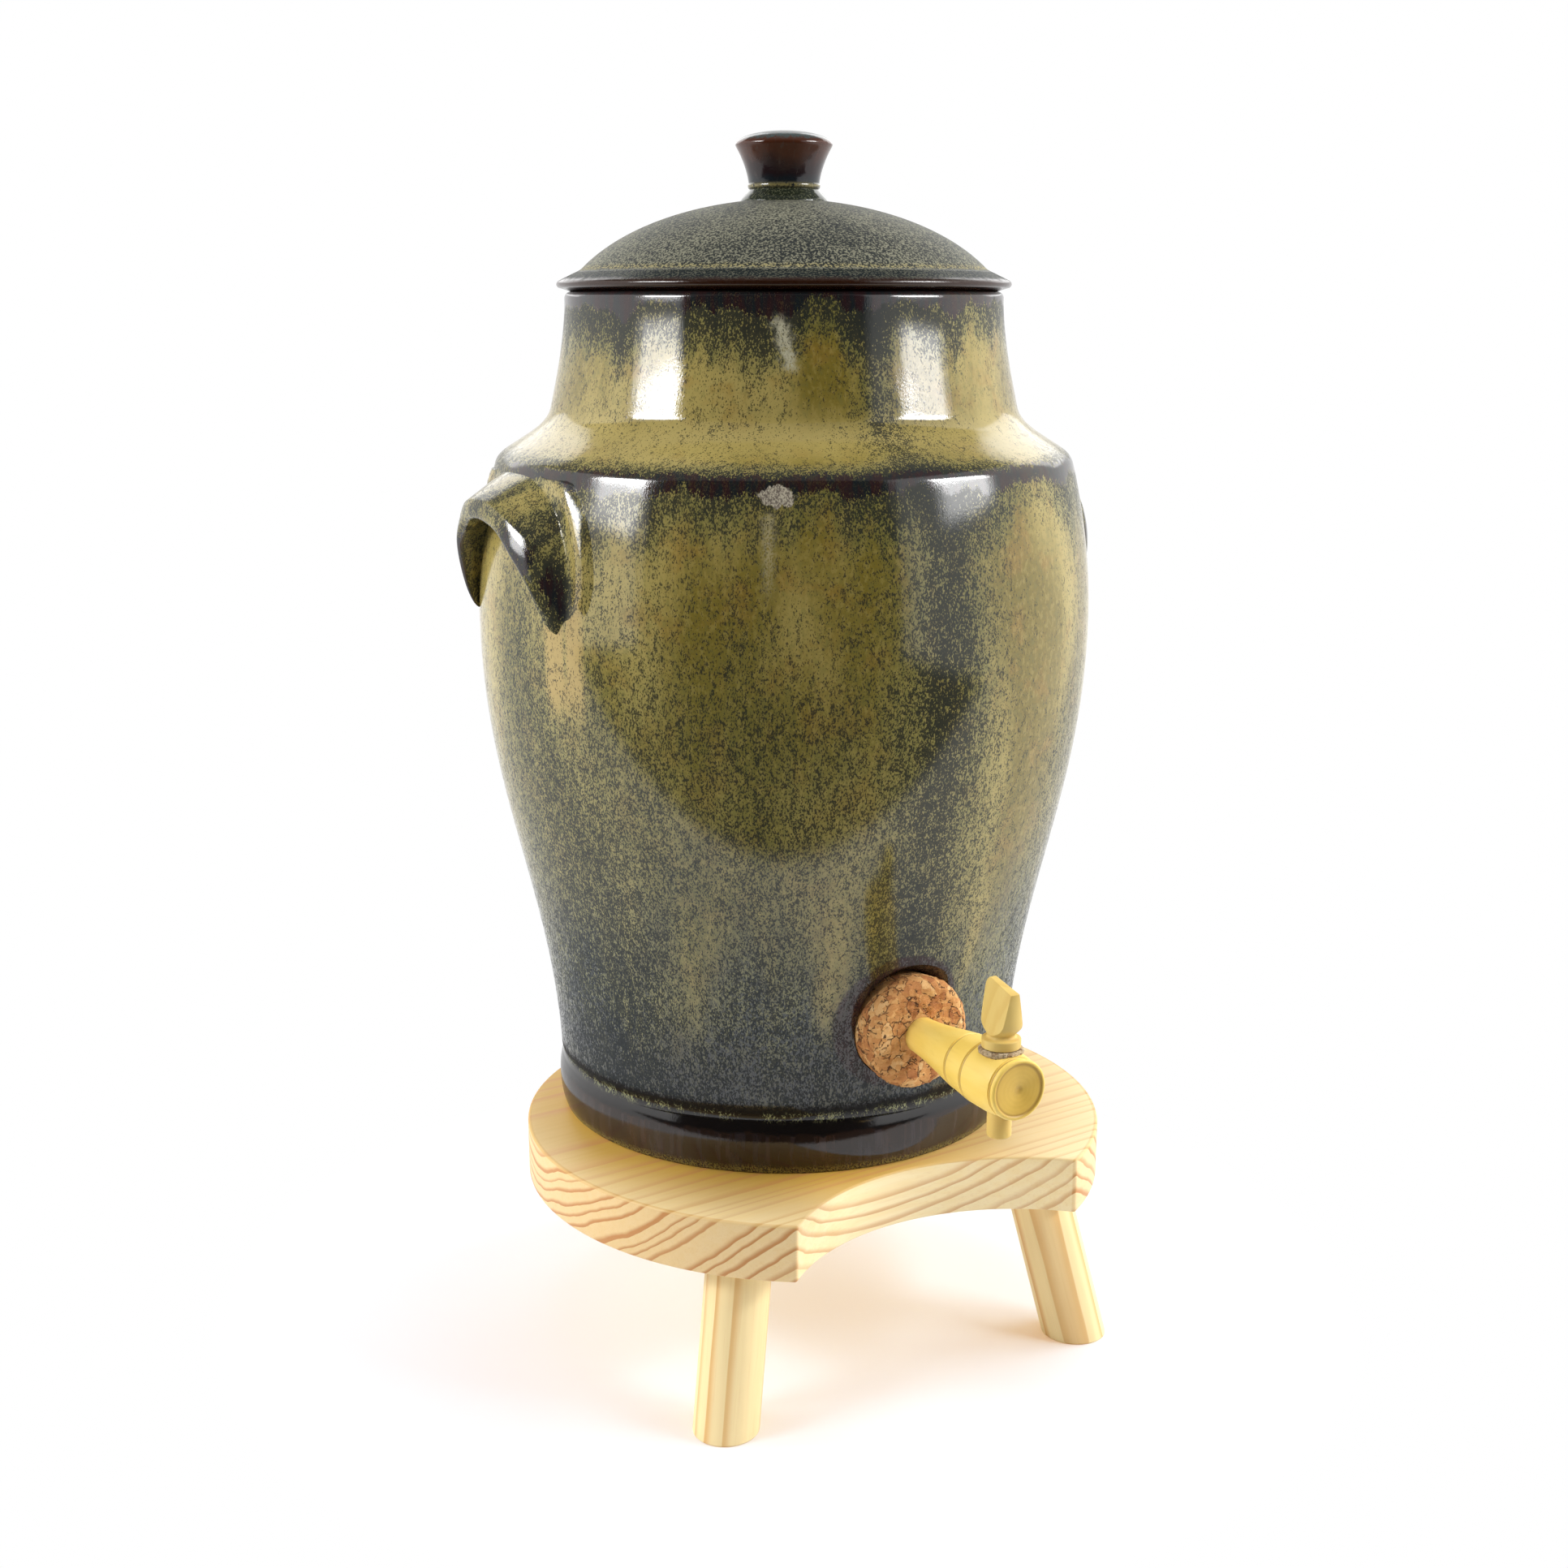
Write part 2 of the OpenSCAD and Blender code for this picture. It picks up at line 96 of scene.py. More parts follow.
@dataclass(frozen=True)
class Places:
    """Where the frame holds the main pieces, and the sizes that they share, in millimetres."""

    axis_y: float
    foot_z: float
    tap_z: float
    cork_y: float
    end_y: float
    key_y: float
    seat_r: float
    seat_y: float
    seat_under: float
    rim_h: float = 267.5
    foot_r: float = 76.0
    cork_r: float = 18.0
    cork_taper: float = 0.1
    view_side: float = math.radians(-28.5)

    @classmethod
    def measured(cls) -> "Places":
        """Read the places from the frame's own boxes.

        Returns:
            The places of the crock, the tap and the seat.
        """
        crock_low, crock_high = (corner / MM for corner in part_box("crock_body"))
        cork_low, cork_high = (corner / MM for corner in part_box("cork_bung"))
        sleeve_low, sleeve_high = (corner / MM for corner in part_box("key_sleeve"))
        seat_low, seat_high = (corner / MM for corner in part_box("stool_seat"))
        seat_r = (seat_high.x - seat_low.x) / 2
        return cls(
            axis_y=(crock_low.y + crock_high.y) / 2,
            foot_z=crock_low.z,
            tap_z=(cork_low.z + cork_high.z) / 2,
            cork_y=cork_low.y,
            end_y=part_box("tap_barrel")[0].y / MM,
            key_y=(sleeve_low.y + sleeve_high.y) / 2,
            seat_r=seat_r,
            seat_y=seat_high.y - seat_r,
            seat_under=seat_low.z,
        )


class Outline:
    """Half of a turned section, as points of radius and height in millimetres."""

    def __init__(self, radius: float, height: float) -> None:
        """Start the section at one point."""
        self.points: list[Vector] = [Vector((radius, height))]

    def to(self, *points: Point) -> "Outline":
        """Add straight stretches to the points and return the outline."""
        self.points += [Vector(point) for point in points]
        return self

    def curve(self, b: Point, c: Point, d: Point, steps: int) -> "Outline":
        """Add a Bezier stretch.

        Args:
            b: The handle of the point where the outline stands.
            c: The handle of the end.
            d: The end.
            steps: How many straight pieces make the stretch.

        Returns:
            The outline.
        """
        ends = [Vector((*point, 0.0)) for point in (self.points[-1], b, c, d)]
        self.points += [Vector(point[:2]) for point in interpolate_bezier(*ends, steps + 1)[1:]]
        return self

    def arc(self, centre: Point, radius: float, start: float, end: float, steps: int) -> "Outline":
        """Add an arc.

        Args:
            centre: The arc's centre.
            radius: Its radius.
            start: The angle of its first point, in degrees.
            end: The angle of its last point, in degrees.
            steps: How many straight pieces make the arc.

        Returns:
            The outline.
        """
        for i in range(steps + 1):
            angle = math.radians(start + (end - start) * i / steps)
            self.to((centre[0] + radius * math.cos(angle), centre[1] + radius * math.sin(angle)))
        return self

    def groove(self, radius: float, height: float, width: float, depth: float) -> "Outline":
        """Add a turned groove of round section.

        Args:
            radius: The radius beside the groove.
            height: The height of its middle.
            width: Its width.
            depth: Its depth.

        Returns:
            The outline.
        """
        half = width / 2
        self.to((radius, height - half))
        return self.curve(
            (radius - depth * 1.3, height - half * 0.7),
            (radius - depth * 1.3, height + half * 0.7),
            (radius, height + half),
            6,
        )


def along(start: Point, lean: float, reach: float) -> Point:
    """Give the handle of a curve that leaves start with that lean of radius per height."""
    return (start[0] + reach * lean, start[1] + reach)


def bezier_to(
    outline: Outline, lean: float, end: Point, end_lean: float, reaches: Point, steps: int
) -> Outline:
    """Add a stretch whose ends follow given leans.

    Args:
        outline: The outline that grows.
        lean: Radius gained per height where it stands.
        end: The point to reach.
        end_lean: Radius gained per height at the end.
        reaches: How far each end follows its lean, as shares of the height.
        steps: How many straight pieces make the stretch.

    Returns:
        The outline.
    """
    start = outline.points[-1]
    rise = end[1] - start[1]
    first = along(start, lean, reaches[0] * rise)
    second = along(end, end_lean, -reaches[1] * rise)
    return outline.curve(first, second, end, steps)


def smooth(value: float, low: float, high: float) -> float:
    """Rise smoothly from 0 at low to 1 at high."""
    share = min(1.0, max(0.0, (value - low) / (high - low)))
    return share * share * (3 - 2 * share)


def turned(outline: Outline, steps: int) -> Form:
    """Spin a half section round the Z axis.

    Args:
        outline: The half section.
        steps: How many sides the round has.

    Returns:
        The closed form, with its normals outwards.
    """
    form = bmesh.new()
    verts = [form.verts.new((r * MM, 0.0, z * MM)) for r, z in outline.points]
    edges = [form.edges.new(pair) for pair in zip(verts, verts[1:])]
    bmesh.ops.spin(
        form,
        geom=verts + edges,
        cent=(0, 0, 0),
        axis=(0, 0, 1),
        angle=FULL_TURN,
        steps=steps,
        use_merge=True,
    )
    return tidied(form)


def tidied(form: Form) -> Form:
    """Merge a form's doubles and turn its faces outwards.

    Args:
        form: The form.

    Returns:
        The same form.
    """
    bmesh.ops.remove_doubles(form, verts=form.verts, dist=MERGE)
    bmesh.ops.recalc_face_normals(form, faces=form.faces)
    return form


def lofted(sections: Sequence[Sequence[Vector]], marks: dict[str, list[list[float]]]) -> Form:
    """Join closed sections into one skin with shut ends.

    Args:
        sections: Rings of points in metres, all of one count.
        marks: Numbers that the mesh carries, by name, for each point of each ring.

    Returns:
        The closed form.
    """
    form = bmesh.new()
    layers = {name: form.verts.layers.float.new(name) for name in marks}
    rings = []
    for i, section in enumerate(sections):
        verts = [form.verts.new(point) for point in section]
        for name, layer in layers.items():
            for vert, mark in zip(verts, marks[name][i]):
                vert[layer] = mark
        rings.append([form.edges.new(pair) for pair in zip(verts, verts[1:] + verts[:1])])
    for low, high in zip(rings, rings[1:]):
        bmesh.ops.bridge_loops(form, edges=low + high)
    for ring in (rings[0], rings[-1]):
        bmesh.ops.contextual_create(form, geom=ring)
    return tidied(form)


def moved(form: Form, matrix: Matrix) -> Form:
    """Put a form in its place and return it."""
    bmesh.ops.transform(form, matrix=matrix, verts=form.verts)
    return form


def stood(y: float, z: float) -> Matrix:
    """Give the move to a place on the middle plane, in millimetres."""
    return Matrix.Translation(Vector((0, y, z)) * MM)


def eased(form: Form, edges: Sequence[bmesh.types.BMEdge], width: float, clamp: bool = False) -> None:
    """Round edges over.

    Args:
        form: The form.
        edges: The edges to round.
        width: How far the rounding reaches, in millimetres.
        clamp: Whether neighbouring roundings are kept from crossing.
    """
    bmesh.ops.bevel(
        form,
        geom=edges,
        offset=width * MM,
        segments=3,
        profile=0.5,
        affect="EDGES",
        material=-1,
        clamp_overlap=clamp,
    )


def cut_flat(
    form: Form, faces: Sequence[bmesh.types.BMFace], spot: Vector, normal: Vector
) -> list[bmesh.types.BMFace]:
    """Cut off what lies outside a plane, close the cut and turn the faces outwards.

    Args:
        form: The form.
        faces: The faces that the cut may touch.
        spot: A point of the plane, in millimetres.
        normal: The plane's outward direction.

    Returns:
        The faces that close the cut.
    """
    edges = dict.fromkeys(edge for face in faces for edge in face.edges)
    verts = dict.fromkeys(vert for face in faces for vert in face.verts)
    cut = bmesh.ops.bisect_plane(
        form,
        geom=[*verts, *edges, *faces],
        dist=MERGE,
        plane_co=spot * MM,
        plane_no=normal,
        clear_outer=True,
    )
    rim = [item for item in cut["geom_cut"] if isinstance(item, bmesh.types.BMEdge)]
    closing = bmesh.ops.contextual_create(form, geom=rim)["faces"]
    bmesh.ops.recalc_face_normals(form, faces=form.faces)
    return closing


def roughened(
    form: Form, depth: float, size: float, keep: Optional[Callable[[Vector], float]] = None
) -> Form:
    """Push a form's skin in and out by a fixed noise.

    Args:
        form: The form.
        depth: The largest push, in millimetres.
        size: The size of the bumps, in millimetres.
        keep: A share of the push at each point, or None for all of it.

    Returns:
        The form.
    """
    form.normal_update()
    for vert in form.verts:
        share = keep(vert.co) if keep else 1.0
        vert.co += vert.normal * (noise.noise(vert.co / (size * MM)) * depth * MM * share)
    return form


def made_object(form: Form, name: str, crease: float) -> bpy.types.Object:
    """Write a form to an object of the scene.

    Args:
        form: The form, which is freed.
        name: The object's name.
        crease: The angle in degrees past which an edge stays sharp.

    Returns:
        The object, at the origin.
    """
    mesh = bpy.data.meshes.new(name)
    form.to_mesh(mesh)
    form.free()
    mesh.shade_smooth()
    mesh.set_sharp_from_angle(angle=math.radians(crease))
    made = bpy.data.objects.new(name, mesh)
    bpy.context.scene.collection.objects.link(made)
    return made


def carved(form: Form, *cutters: Form) -> Form:
    """Take other forms out of a form.

    Args:
        form: The form that is cut.
        cutters: The forms to take out.

    Returns:
        What is left.
    """
    blank = made_object(form, "blank", crease=30)
    tools = [made_object(cutter, "cutter", crease=30) for cutter in cutters]
    for tool in tools:
        cut = blank.modifiers.new("cut", "BOOLEAN")
        cut.operation = "DIFFERENCE"
        cut.solver = "EXACT"
        cut.object = tool
    left = bmesh.new()
    left.from_object(blank, bpy.context.evaluated_depsgraph_get())
    for spent in (blank, *tools):
        mesh = spent.data
        bpy.data.objects.remove(spent)
        bpy.data.meshes.remove(mesh)
    return left


def fitted(piece: bpy.types.Object, node: str, body: Body, finish: bpy.types.Material) -> None:
    """Give a piece its finish, its body and the node that it stands for.

    Args:
        piece: The piece.
        node: The node of the frame that it replaces.
        body: The body that it rides on.
        finish: Its material.
    """
    piece.data.materials.clear()
    piece.data.materials.append(finish)
    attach(piece, body.value)
    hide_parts(node)
    LOG.info("%s stands for %s on %s, %d faces", piece.name, node, body.value, len(piece.data.polygons))


class Value:
    """An output socket of a shader graph that takes part in Python arithmetic."""

    def __init__(self, graph: "Graph", socket: bpy.types.NodeSocket) -> None:
        """Hold a socket of a graph."""
        self.graph = graph
        self.socket = socket

    def __add__(self, other: "Number") -> "Value":
        """Add a value or a number."""
        return self.graph.math("ADD", self, other)

    __radd__ = __add__

    def __sub__(self, other: "Number") -> "Value":
        """Take a value or a number away."""
        return self.graph.math("SUBTRACT", self, other)

    def __rsub__(self, other: "Number") -> "Value":
        """Take from a number."""
        return self.graph.math("SUBTRACT", other, self)

    def __mul__(self, other: "Number") -> "Value":
        """Multiply by a value or a number."""
        return self.graph.math("MULTIPLY", self, other)

    __rmul__ = __mul__

    def __truediv__(self, other: "Number") -> "Value":
        """Divide by a value or a number."""
        return self.graph.math("DIVIDE", self, other)

    def __abs__(self) -> "Value":
        """Drop the sign."""
        return self.graph.math("ABSOLUTE", self)

    def other(self, name: str) -> "Value":
        """Give another output of the same node."""
        return Value(self.graph, self.socket.node.outputs[name])


Number = Union[Value, float]
Tint = Union[Value, Colour]


class Graph:
    """A node graph that is written as expressions."""

    def __init__(self, tree: bpy.types.NodeTree) -> None:
        """Hold a node tree."""
        self.tree = tree

    def node(self, kind: str, settings: dict, sockets: dict, output: Union[int, str] = 0) -> Value:
        """Add a node.

        Args:
            kind: The node's type.
            settings: Its own settings, which are set first; stops are a ramp's places and colours.
            sockets: Values or links for its inputs, by name or number.
            output: The output to give back.

        Returns:
            That output as a value.
        """
        made = self.tree.nodes.new(kind)
        for key, setting in settings.items():
            if key == "stops":
                self._set_stops(made.color_ramp, setting)
            else:
                setattr(made, key, setting)
        for key, given in sockets.items():
            self.feed(made.inputs[key], given)
        return Value(self, made.outputs[output])

    @staticmethod
    def _set_stops(ramp: bpy.types.ColorRamp, stops: Sequence[tuple[float, Colour]]) -> None:
        """Set a ramp's places and colours.

        Args:
            ramp: The ramp.
            stops: A place and a colour for each stop.
        """
        while len(ramp.elements) < len(stops):
            ramp.elements.new(1.0)
        for element, (place, colour) in zip(ramp.elements, stops):
            element.position = place
            element.color = (*colour, 1.0)

    def feed(self, socket: bpy.types.NodeSocket, given: Union[Number, Tint]) -> None:
        """Link a value to a socket, or set the socket.

        Args:
            socket: The input.
            given: A value to link, or a number or a colour to set.
        """
        if isinstance(given, Value):
            self.tree.links.new(given.socket, socket)
        elif socket.type == "RGBA":
            socket.default_value = (*given, 1.0)
        else:
            socket.default_value = given

    def math(self, operation: str, *terms: Number) -> Value:
        """Add a Math node on the terms."""
        return self.node("ShaderNodeMath", {"operation": operation}, dict(enumerate(terms)))

    def place(self) -> Value:
        """Give the place on the piece, in millimetres."""
        metres = self.node("ShaderNodeTexCoord", {}, {}, "Object")
        return self.node("ShaderNodeVectorMath", {"operation": "SCALE"}, {0: metres, "Scale": 1 / MM})

    def local(self, place: Value, origin: Sequence[float], turn: Sequence[float]) -> Value:
        """Give a place in a frame with an origin in millimetres and a turn of Euler angles."""
        sockets = {"Vector": place, "Location": tuple(origin), "Rotation": tuple(turn)}
        return self.node("ShaderNodeMapping", {"vector_type": "TEXTURE"}, sockets)

    def stretched(self, place: Value, scale: Sequence[float]) -> Value:
        """Scale a place along each axis."""
        return self.node("ShaderNodeVectorMath", {"operation": "MULTIPLY"}, {0: place, 1: tuple(scale)})

    def shifted(self, place: Value, by: Value, reach: float) -> Value:
        """Move a place by a colour or vector about its middle.

        Args:
            place: The place.
            by: A vector with a middle of one half.
            reach: How far it moves the place, in millimetres.

        Returns:
            The moved place.
        """
        half = self.node("ShaderNodeVectorMath", {"operation": "SUBTRACT"}, {0: by, 1: (0.5, 0.5, 0.5)})
        push = self.node("ShaderNodeVectorMath", {"operation": "SCALE"}, {0: half, "Scale": reach})
        return self.node("ShaderNodeVectorMath", {"operation": "ADD"}, {0: place, 1: push})

    def axes(self, place: Value) -> tuple[Value, Value, Value]:
        """Split a place into its three numbers."""
        split = self.node("ShaderNodeSeparateXYZ", {}, {0: place})
        return split, split.other("Y"), split.other("Z")

    def noise(self, place: Value, size: float, detail: float = 2.0, rough: float = 0.5) -> Value:
        """Add a noise about one half, with clouds of a size in millimetres and finer layers on them."""
        sockets = {"Vector": place, "Scale": 1 / size, "Detail": detail, "Roughness": rough}
        return self.node("ShaderNodeTexNoise", {}, sockets)

    def drawn(self, place: Value, pull: float, size: float, detail: float = 2.0, rough: float = 0.5) -> Value:
        """Add a noise that is drawn out along Z, the longer the smaller the pull."""
        return self.noise(self.stretched(place, (1.0, 1.0, pull)), size, detail, rough)

    def cells(self, place: Value, size: float, feature: str, output: str) -> Value:
        """Add a pattern of cells of that size and give one of its outputs."""
        sockets = {"Vector": place, "Scale": 1 / size}
        return self.node("ShaderNodeTexVoronoi", {"feature": feature}, sockets, output)

    def rise(self, value: Number, low: Number, high: Number) -> Value:
        """Rise smoothly from 0 to 1.

        Args:
            value: What rises.
            low: Where it is still 0.
            high: Where it is 1.

        Returns:
            The rise.
        """
        settings = {"interpolation_type": "SMOOTHSTEP"}
        sockets = {"Value": value, "From Min": low, "From Max": high, "To Min": 0.0, "To Max": 1.0}
        return self.node("ShaderNodeMapRange", settings, sockets)

    def fall(self, value: Number, low: Number, high: Number) -> Value:
        """Fall smoothly from 1 at low to 0 at high."""
        return 1.0 - self.rise(value, low, high)

    def bell(self, value: Value, middle: float, spread: float) -> Value:
        """Rise to 1 at the middle and fall away over the spread."""
        share = (value - middle) / spread
        return self.math("POWER", math.e, share * share * -1.0)

    def away(self, first: Value, second: Value) -> Value:
        """Give how far a place lies from an axis, by its two numbers across the axis."""
        return self.math("SQRT", first * first + second * second)

    def clamped(self, value: Value) -> Value:
        """Keep a value between 0 and 1."""
        return self.node("ShaderNodeClamp", {}, {0: value})

    def mix(self, share: Number, first: Tint, second: Tint) -> Value:
        """Mix two colours, with the second at a share of 1."""
        return self.node("ShaderNodeMix", {"data_type": "RGBA"}, {0: share, 6: first, 7: second}, 2)

    def blend(self, share: Number, first: Number, second: Number) -> Value:
        """Mix two numbers, with the second at a share of 1."""
        return first + (second - first) * share

    def ramp(self, value: Value, *stops: tuple[float, Colour]) -> Value:
        """Colour a value by a ramp."""
        return self.node("ShaderNodeValToRGB", {"stops": stops}, {0: value})

    def attribute(self, name: str) -> Value:
        """Read a number that the piece's own mesh carries."""
        settings = {"attribute_type": "GEOMETRY", "attribute_name": name}
        return self.node("ShaderNodeAttribute", settings, {}, "Fac")

    def bump(self, height: Value, depth: float, strength: float, under: Optional[Value] = None) -> Value:
        """Add a bump.

        Args:
            height: Its height, from 0 to 1.
            depth: What a height of 1 measures, in millimetres.
            strength: How much of it shows.
            under: A bump that it lies on.

        Returns:
            The bumped normal.
        """
        sockets = {"Height": height, "Distance": depth * MM, "Strength": strength}
        if under:
            sockets["Normal"] = under
        return self.node("ShaderNodeBump", {}, sockets)


class MaterialGraph(Graph):
    """The node graph of one material."""

    dull_rough = 0.8
    dull_shine = 0.12

    def __init__(self, name: str) -> None:
        """Start a material with one Principled shader.

        Args:
            name: The material's name.
        """
        self.material = bpy.data.materials.new(name)
        self.material.use_nodes = True
        super().__init__(self.material.node_tree)
        self.shader = self.tree.nodes["Principled BSDF"]

    def finished(self, **sockets: Union[Number, Tint]) -> bpy.types.Material:
        """Feed the shader.

        Args:
            sockets: Its sockets, named with underscores.

        Returns:
            The material.
        """
        for name, given in sockets.items():
            self.feed(self.shader.inputs[name.replace("_", " ")], given)
        return self.material

    def dulled(self, share: Value, colour: Value) -> bpy.types.Material:
        """Lay a dull skin over the finish.

        Args:
            share: Where it lies.
            colour: Its colour.

        Returns:
            The material.
        """
        sockets = {"Base Color": colour, "Roughness": self.dull_rough, "Specular IOR Level": self.dull_shine}
        dull = self.node("ShaderNodeBsdfPrincipled", {}, sockets)
        glossy = Value(self, self.shader.outputs[0])
        both = self.node("ShaderNodeMixShader", {}, {0: share, 1: glossy, 2: dull})
        self.feed(self.tree.nodes["Material Output"].inputs["Surface"], both)
        return self.material


@dataclass(frozen=True)
class GlazeField:
    """The places and noises that a glaze is mixed from."""

    g: Graph
    x: Value
    y: Value
    z: Value
    up: Value
    turn: Value
    runs: Value
    sway: Value
    clouds: Value
    streaks: Value
    flecks: Value
    veins: Value
    drift: Value
    grain: Value
    place: Value

    @classmethod
    def laid(cls, g: Graph, places: Places) -> "GlazeField":
        """Lay the fields on the crock.

        Args:
            g: The graph.
            places: Where the crock stands.

        Returns:
            The fields.
        """
        place = g.place()
        x, y, z = g.axes(place)
        runs = g.drawn(place, 0.055, 12.0, 3.0, 0.55)
        return cls(
            g=g,
            x=x,
            y=y - places.axis_y,
            z=z,
            up=z - places.foot_z,
            turn=g.math("ARCTAN2", x, places.axis_y - y),
            runs=runs,
            sway=(runs - 0.5) * 2.0,
            clouds=g.drawn(place, 0.4, 46.0),
            streaks=g.drawn(place, 0.13, 2.2, 2.0, 0.55),
            flecks=g.drawn(place, 0.58, 0.46, 3.0, 0.62),
            veins=abs(g.drawn(place, 0.48, 1.2, 2.0, 0.6) - 0.5),
            drift=g.drawn(place, 0.5, 2.1, 2.0, 0.55),
            grain=g.drawn(place, 0.7, 0.45),
            place=place,
        )


@dataclass(frozen=True)
class CrockGlaze:
    """Glossy olive and ochre glaze that runs in fine dark flecks and breaks to plum on the edges.

    Spans are heights over the foot between which a mask rises, or falls where they are called ends.
    The ring's end is measured from the cork's axis and the front's along Y. Sides and streams are
    turns from the tap's direction.
    """

    places: Places
    name: str = "crock_glaze"
    olive: Colour = (0.178, 0.133, 0.020)
    green: Colour = (0.140, 0.146, 0.050)
    amber: Colour = (0.275, 0.150, 0.029)
    ochre: Colour = (0.395, 0.312, 0.098)
    honey: Colour = (0.430, 0.305, 0.098)
    moss: Colour = (0.148, 0.148, 0.064)
    teal: Colour = (0.019, 0.031, 0.036)
    slate: Colour = (0.013, 0.015, 0.021)
    ink: Colour = (0.009, 0.013, 0.016)
    plum: Colour = (0.026, 0.009, 0.011)
    umber: Colour = (0.017, 0.009, 0.006)
    rust: Colour = (0.046, 0.021, 0.009)
    straw: Colour = (0.27, 0.28, 0.14)
    bisque: Colour = (0.50, 0.45, 0.34)
    bloom: Colour = (0.030, 0.026, 0.033)
    black: Colour = (0.005, 0.004, 0.004)
    hem: Colour = (0.21, 0.175, 0.045)
    cream: Colour = (0.50, 0.47, 0.33)
    sand: Colour = (0.43, 0.37, 0.20)
    clay: Colour = (0.17, 0.14, 0.115)
    gloss: float = 0.045
    glass_index: float = 1.75
    hem_end: Span = (1.0, 3.4)
    black_span: Span = (12.8, 13.8)
    foot_dull_end: Span = (13.0, 17.0)
    foot_end: Span = (18.6, 20.6)
    fleck_span: Span = (20.0, 24.0)
    black_end: Span = (21.8, 23.4)
    left_stream_span: Span = (22.0, 40.0)
    sunk_end: Span = (26.0, 56.0)
    over_tap_span: Span = (30.0, 100.0)
    low_end: Span = (34.0, 118.0)
    right_stream_span: Span = (36.0, 58.0)
    dull_end: Span = (40.0, 105.0)
    stream_end: Span = (72.0, 106.0)
    middle_end: Span = (110.0, 190.0)
    drip_span: Span = (138.0, 154.0)
    trickle_span: Span = (150.0, 160.0)
    bright_span: Span = (175.0, 215.0)
    drip_end: Span = (176.0, 190.0)
    trail_span: Span = (178.0, 196.0)
    handle_honey_end: Span = (178.0, 194.0)
    fringe_span: Span = (188.0, 213.0)
    left_end: Span = (196.0, 215.0)
    trail_end: Span = (205.0, 208.0)
    lean_span: Span = (206.0, 232.0)
    ridge_span: Span = (206.5, 215.0)
    ridge_end: Span = (215.4, 219.4)
    fringe_end: Span = (216.5, 221.5)
    crown_span: Span = (243.0, 262.0)
    run_span: Span = (243.5, 247.0)
    run_end: Span = (257.5, 262.0)
    rim_span: Span = (259.0, 265.5)
    ring_end: Span = (21.0, 22.4)
    front_end: Span = (-60.0, -50.0)
    groove_up: float = 20.4
    straw_up: float = 18.9
    heart_up: float = 135.0
    over_tap_up: float = 165.0
    spot_up: float = 211.2
    shoulder_up: float = 226.0
    run_up: float = 252.0
    ridge_r: float = 93.0
    ring_shift: Point = (-2.2, 2.4)
    handle_tip: float = math.radians(20.5)
    left_side: float = math.radians(-72.0)
    left_stream: float = math.radians(-48.0)
    right_stream: float = math.radians(-18.0)
    bright_side: float = math.radians(23.0)
    bright_high: float = math.radians(-24.0)
    heart_side: float = math.radians(-36.0)
    highlight_side: float = math.radians(-114.0)

    def material(self) -> bpy.types.Material:
        """Build the glaze.

        Returns:
            The material.
        """
        g = MaterialGraph(self.name)
        f = GlazeField.laid(g, self.places)
        left = g.bell(f.turn, self.left_side, math.radians(28.0))
        streams = self._streams(f)
        reach = f.up + f.sway * 52.0 - left * 4.0 + streams * 44.0
        low = g.fall(reach, *self.low_end)
        cover, band, ripe = self._cover(f, low)
        line = 0.70 - (cover - streams * 0.09) * 0.41
        score = f.flecks + (f.drift - 0.5) * 0.25 + (0.05 - f.veins) * g.blend(low, 0.5, 1.0)
        threads = g.fall(f.veins, 0.008, 0.034) * g.rise(f.drift + cover * 0.35, 0.63, 0.70)
        dark = g.clamped(g.rise(score, line - 0.03, line + 0.03) + threads * 0.85)
        ground = self._ground(f, low, cover, ripe)
        colour = g.mix(dark * (0.74 + cover * 0.22), ground, self.ink)
        solid = g.rise(band + (f.flecks - 0.5) * 0.9 + (f.streaks - 0.5) * 0.5, 0.44, 0.62)
        colour = g.mix(solid * 0.90, colour, g.mix(g.rise(f.streaks, 0.38, 0.62), self.ink, self.plum))
        colour = self._trimmed(f, colour)
        skin = g.bump(f.flecks, 0.05, 0.4)
        skin = g.bump(f.clouds + f.runs * 0.25, 0.9, 0.5, skin)
        rough = self.gloss + dark * 0.05 + (f.grain - 0.5) * 0.05
        g.finished(Base_Color=colour, Roughness=rough, Normal=skin, IOR=self.glass_index)
        return g.dulled(g.clamped(self._dull(f, dark * (1.0 - solid))), colour)

    def _streams(self, f: GlazeField) -> Value:
        """Give the two pale streams that run down the low part on the side that is seen.

        Args:
            f: The glaze's fields.

        Returns:
            A mask of the streams.
        """
        g = f.g
        slant = f.turn + (67.0 - f.up) * 0.003 + f.sway * 0.06
        left = g.bell(slant, self.left_stream, 0.11) * g.rise(f.up, *self.left_stream_span)
        wave = f.turn + f.sway * 0.04
        right = g.bell(wave, self.right_stream, 0.085) * g.rise(f.up, *self.right_stream_span)
        return (left + right) * g.fall(f.up, *self.stream_end)

    def _dull(self, f: GlazeField, dark: Value) -> Value:
        """Say where the glaze is dull: on the flecks, more so low down, and most in the groove.

        Args:
            f: The glaze's fields.
            dark: A mask of the dark flecks.

        Returns:
            The share of dull skin.
        """
        g = f.g
        foot = g.fall(f.up, *self.foot_dull_end) * 0.30
        flecks = 0.42 + g.fall(f.up, *self.dull_end) * 0.26
        return dark * g.rise(f.up, *self.fleck_span) * flecks + g.bell(f.up, self.groove_up, 2.3) * 0.9 + foot

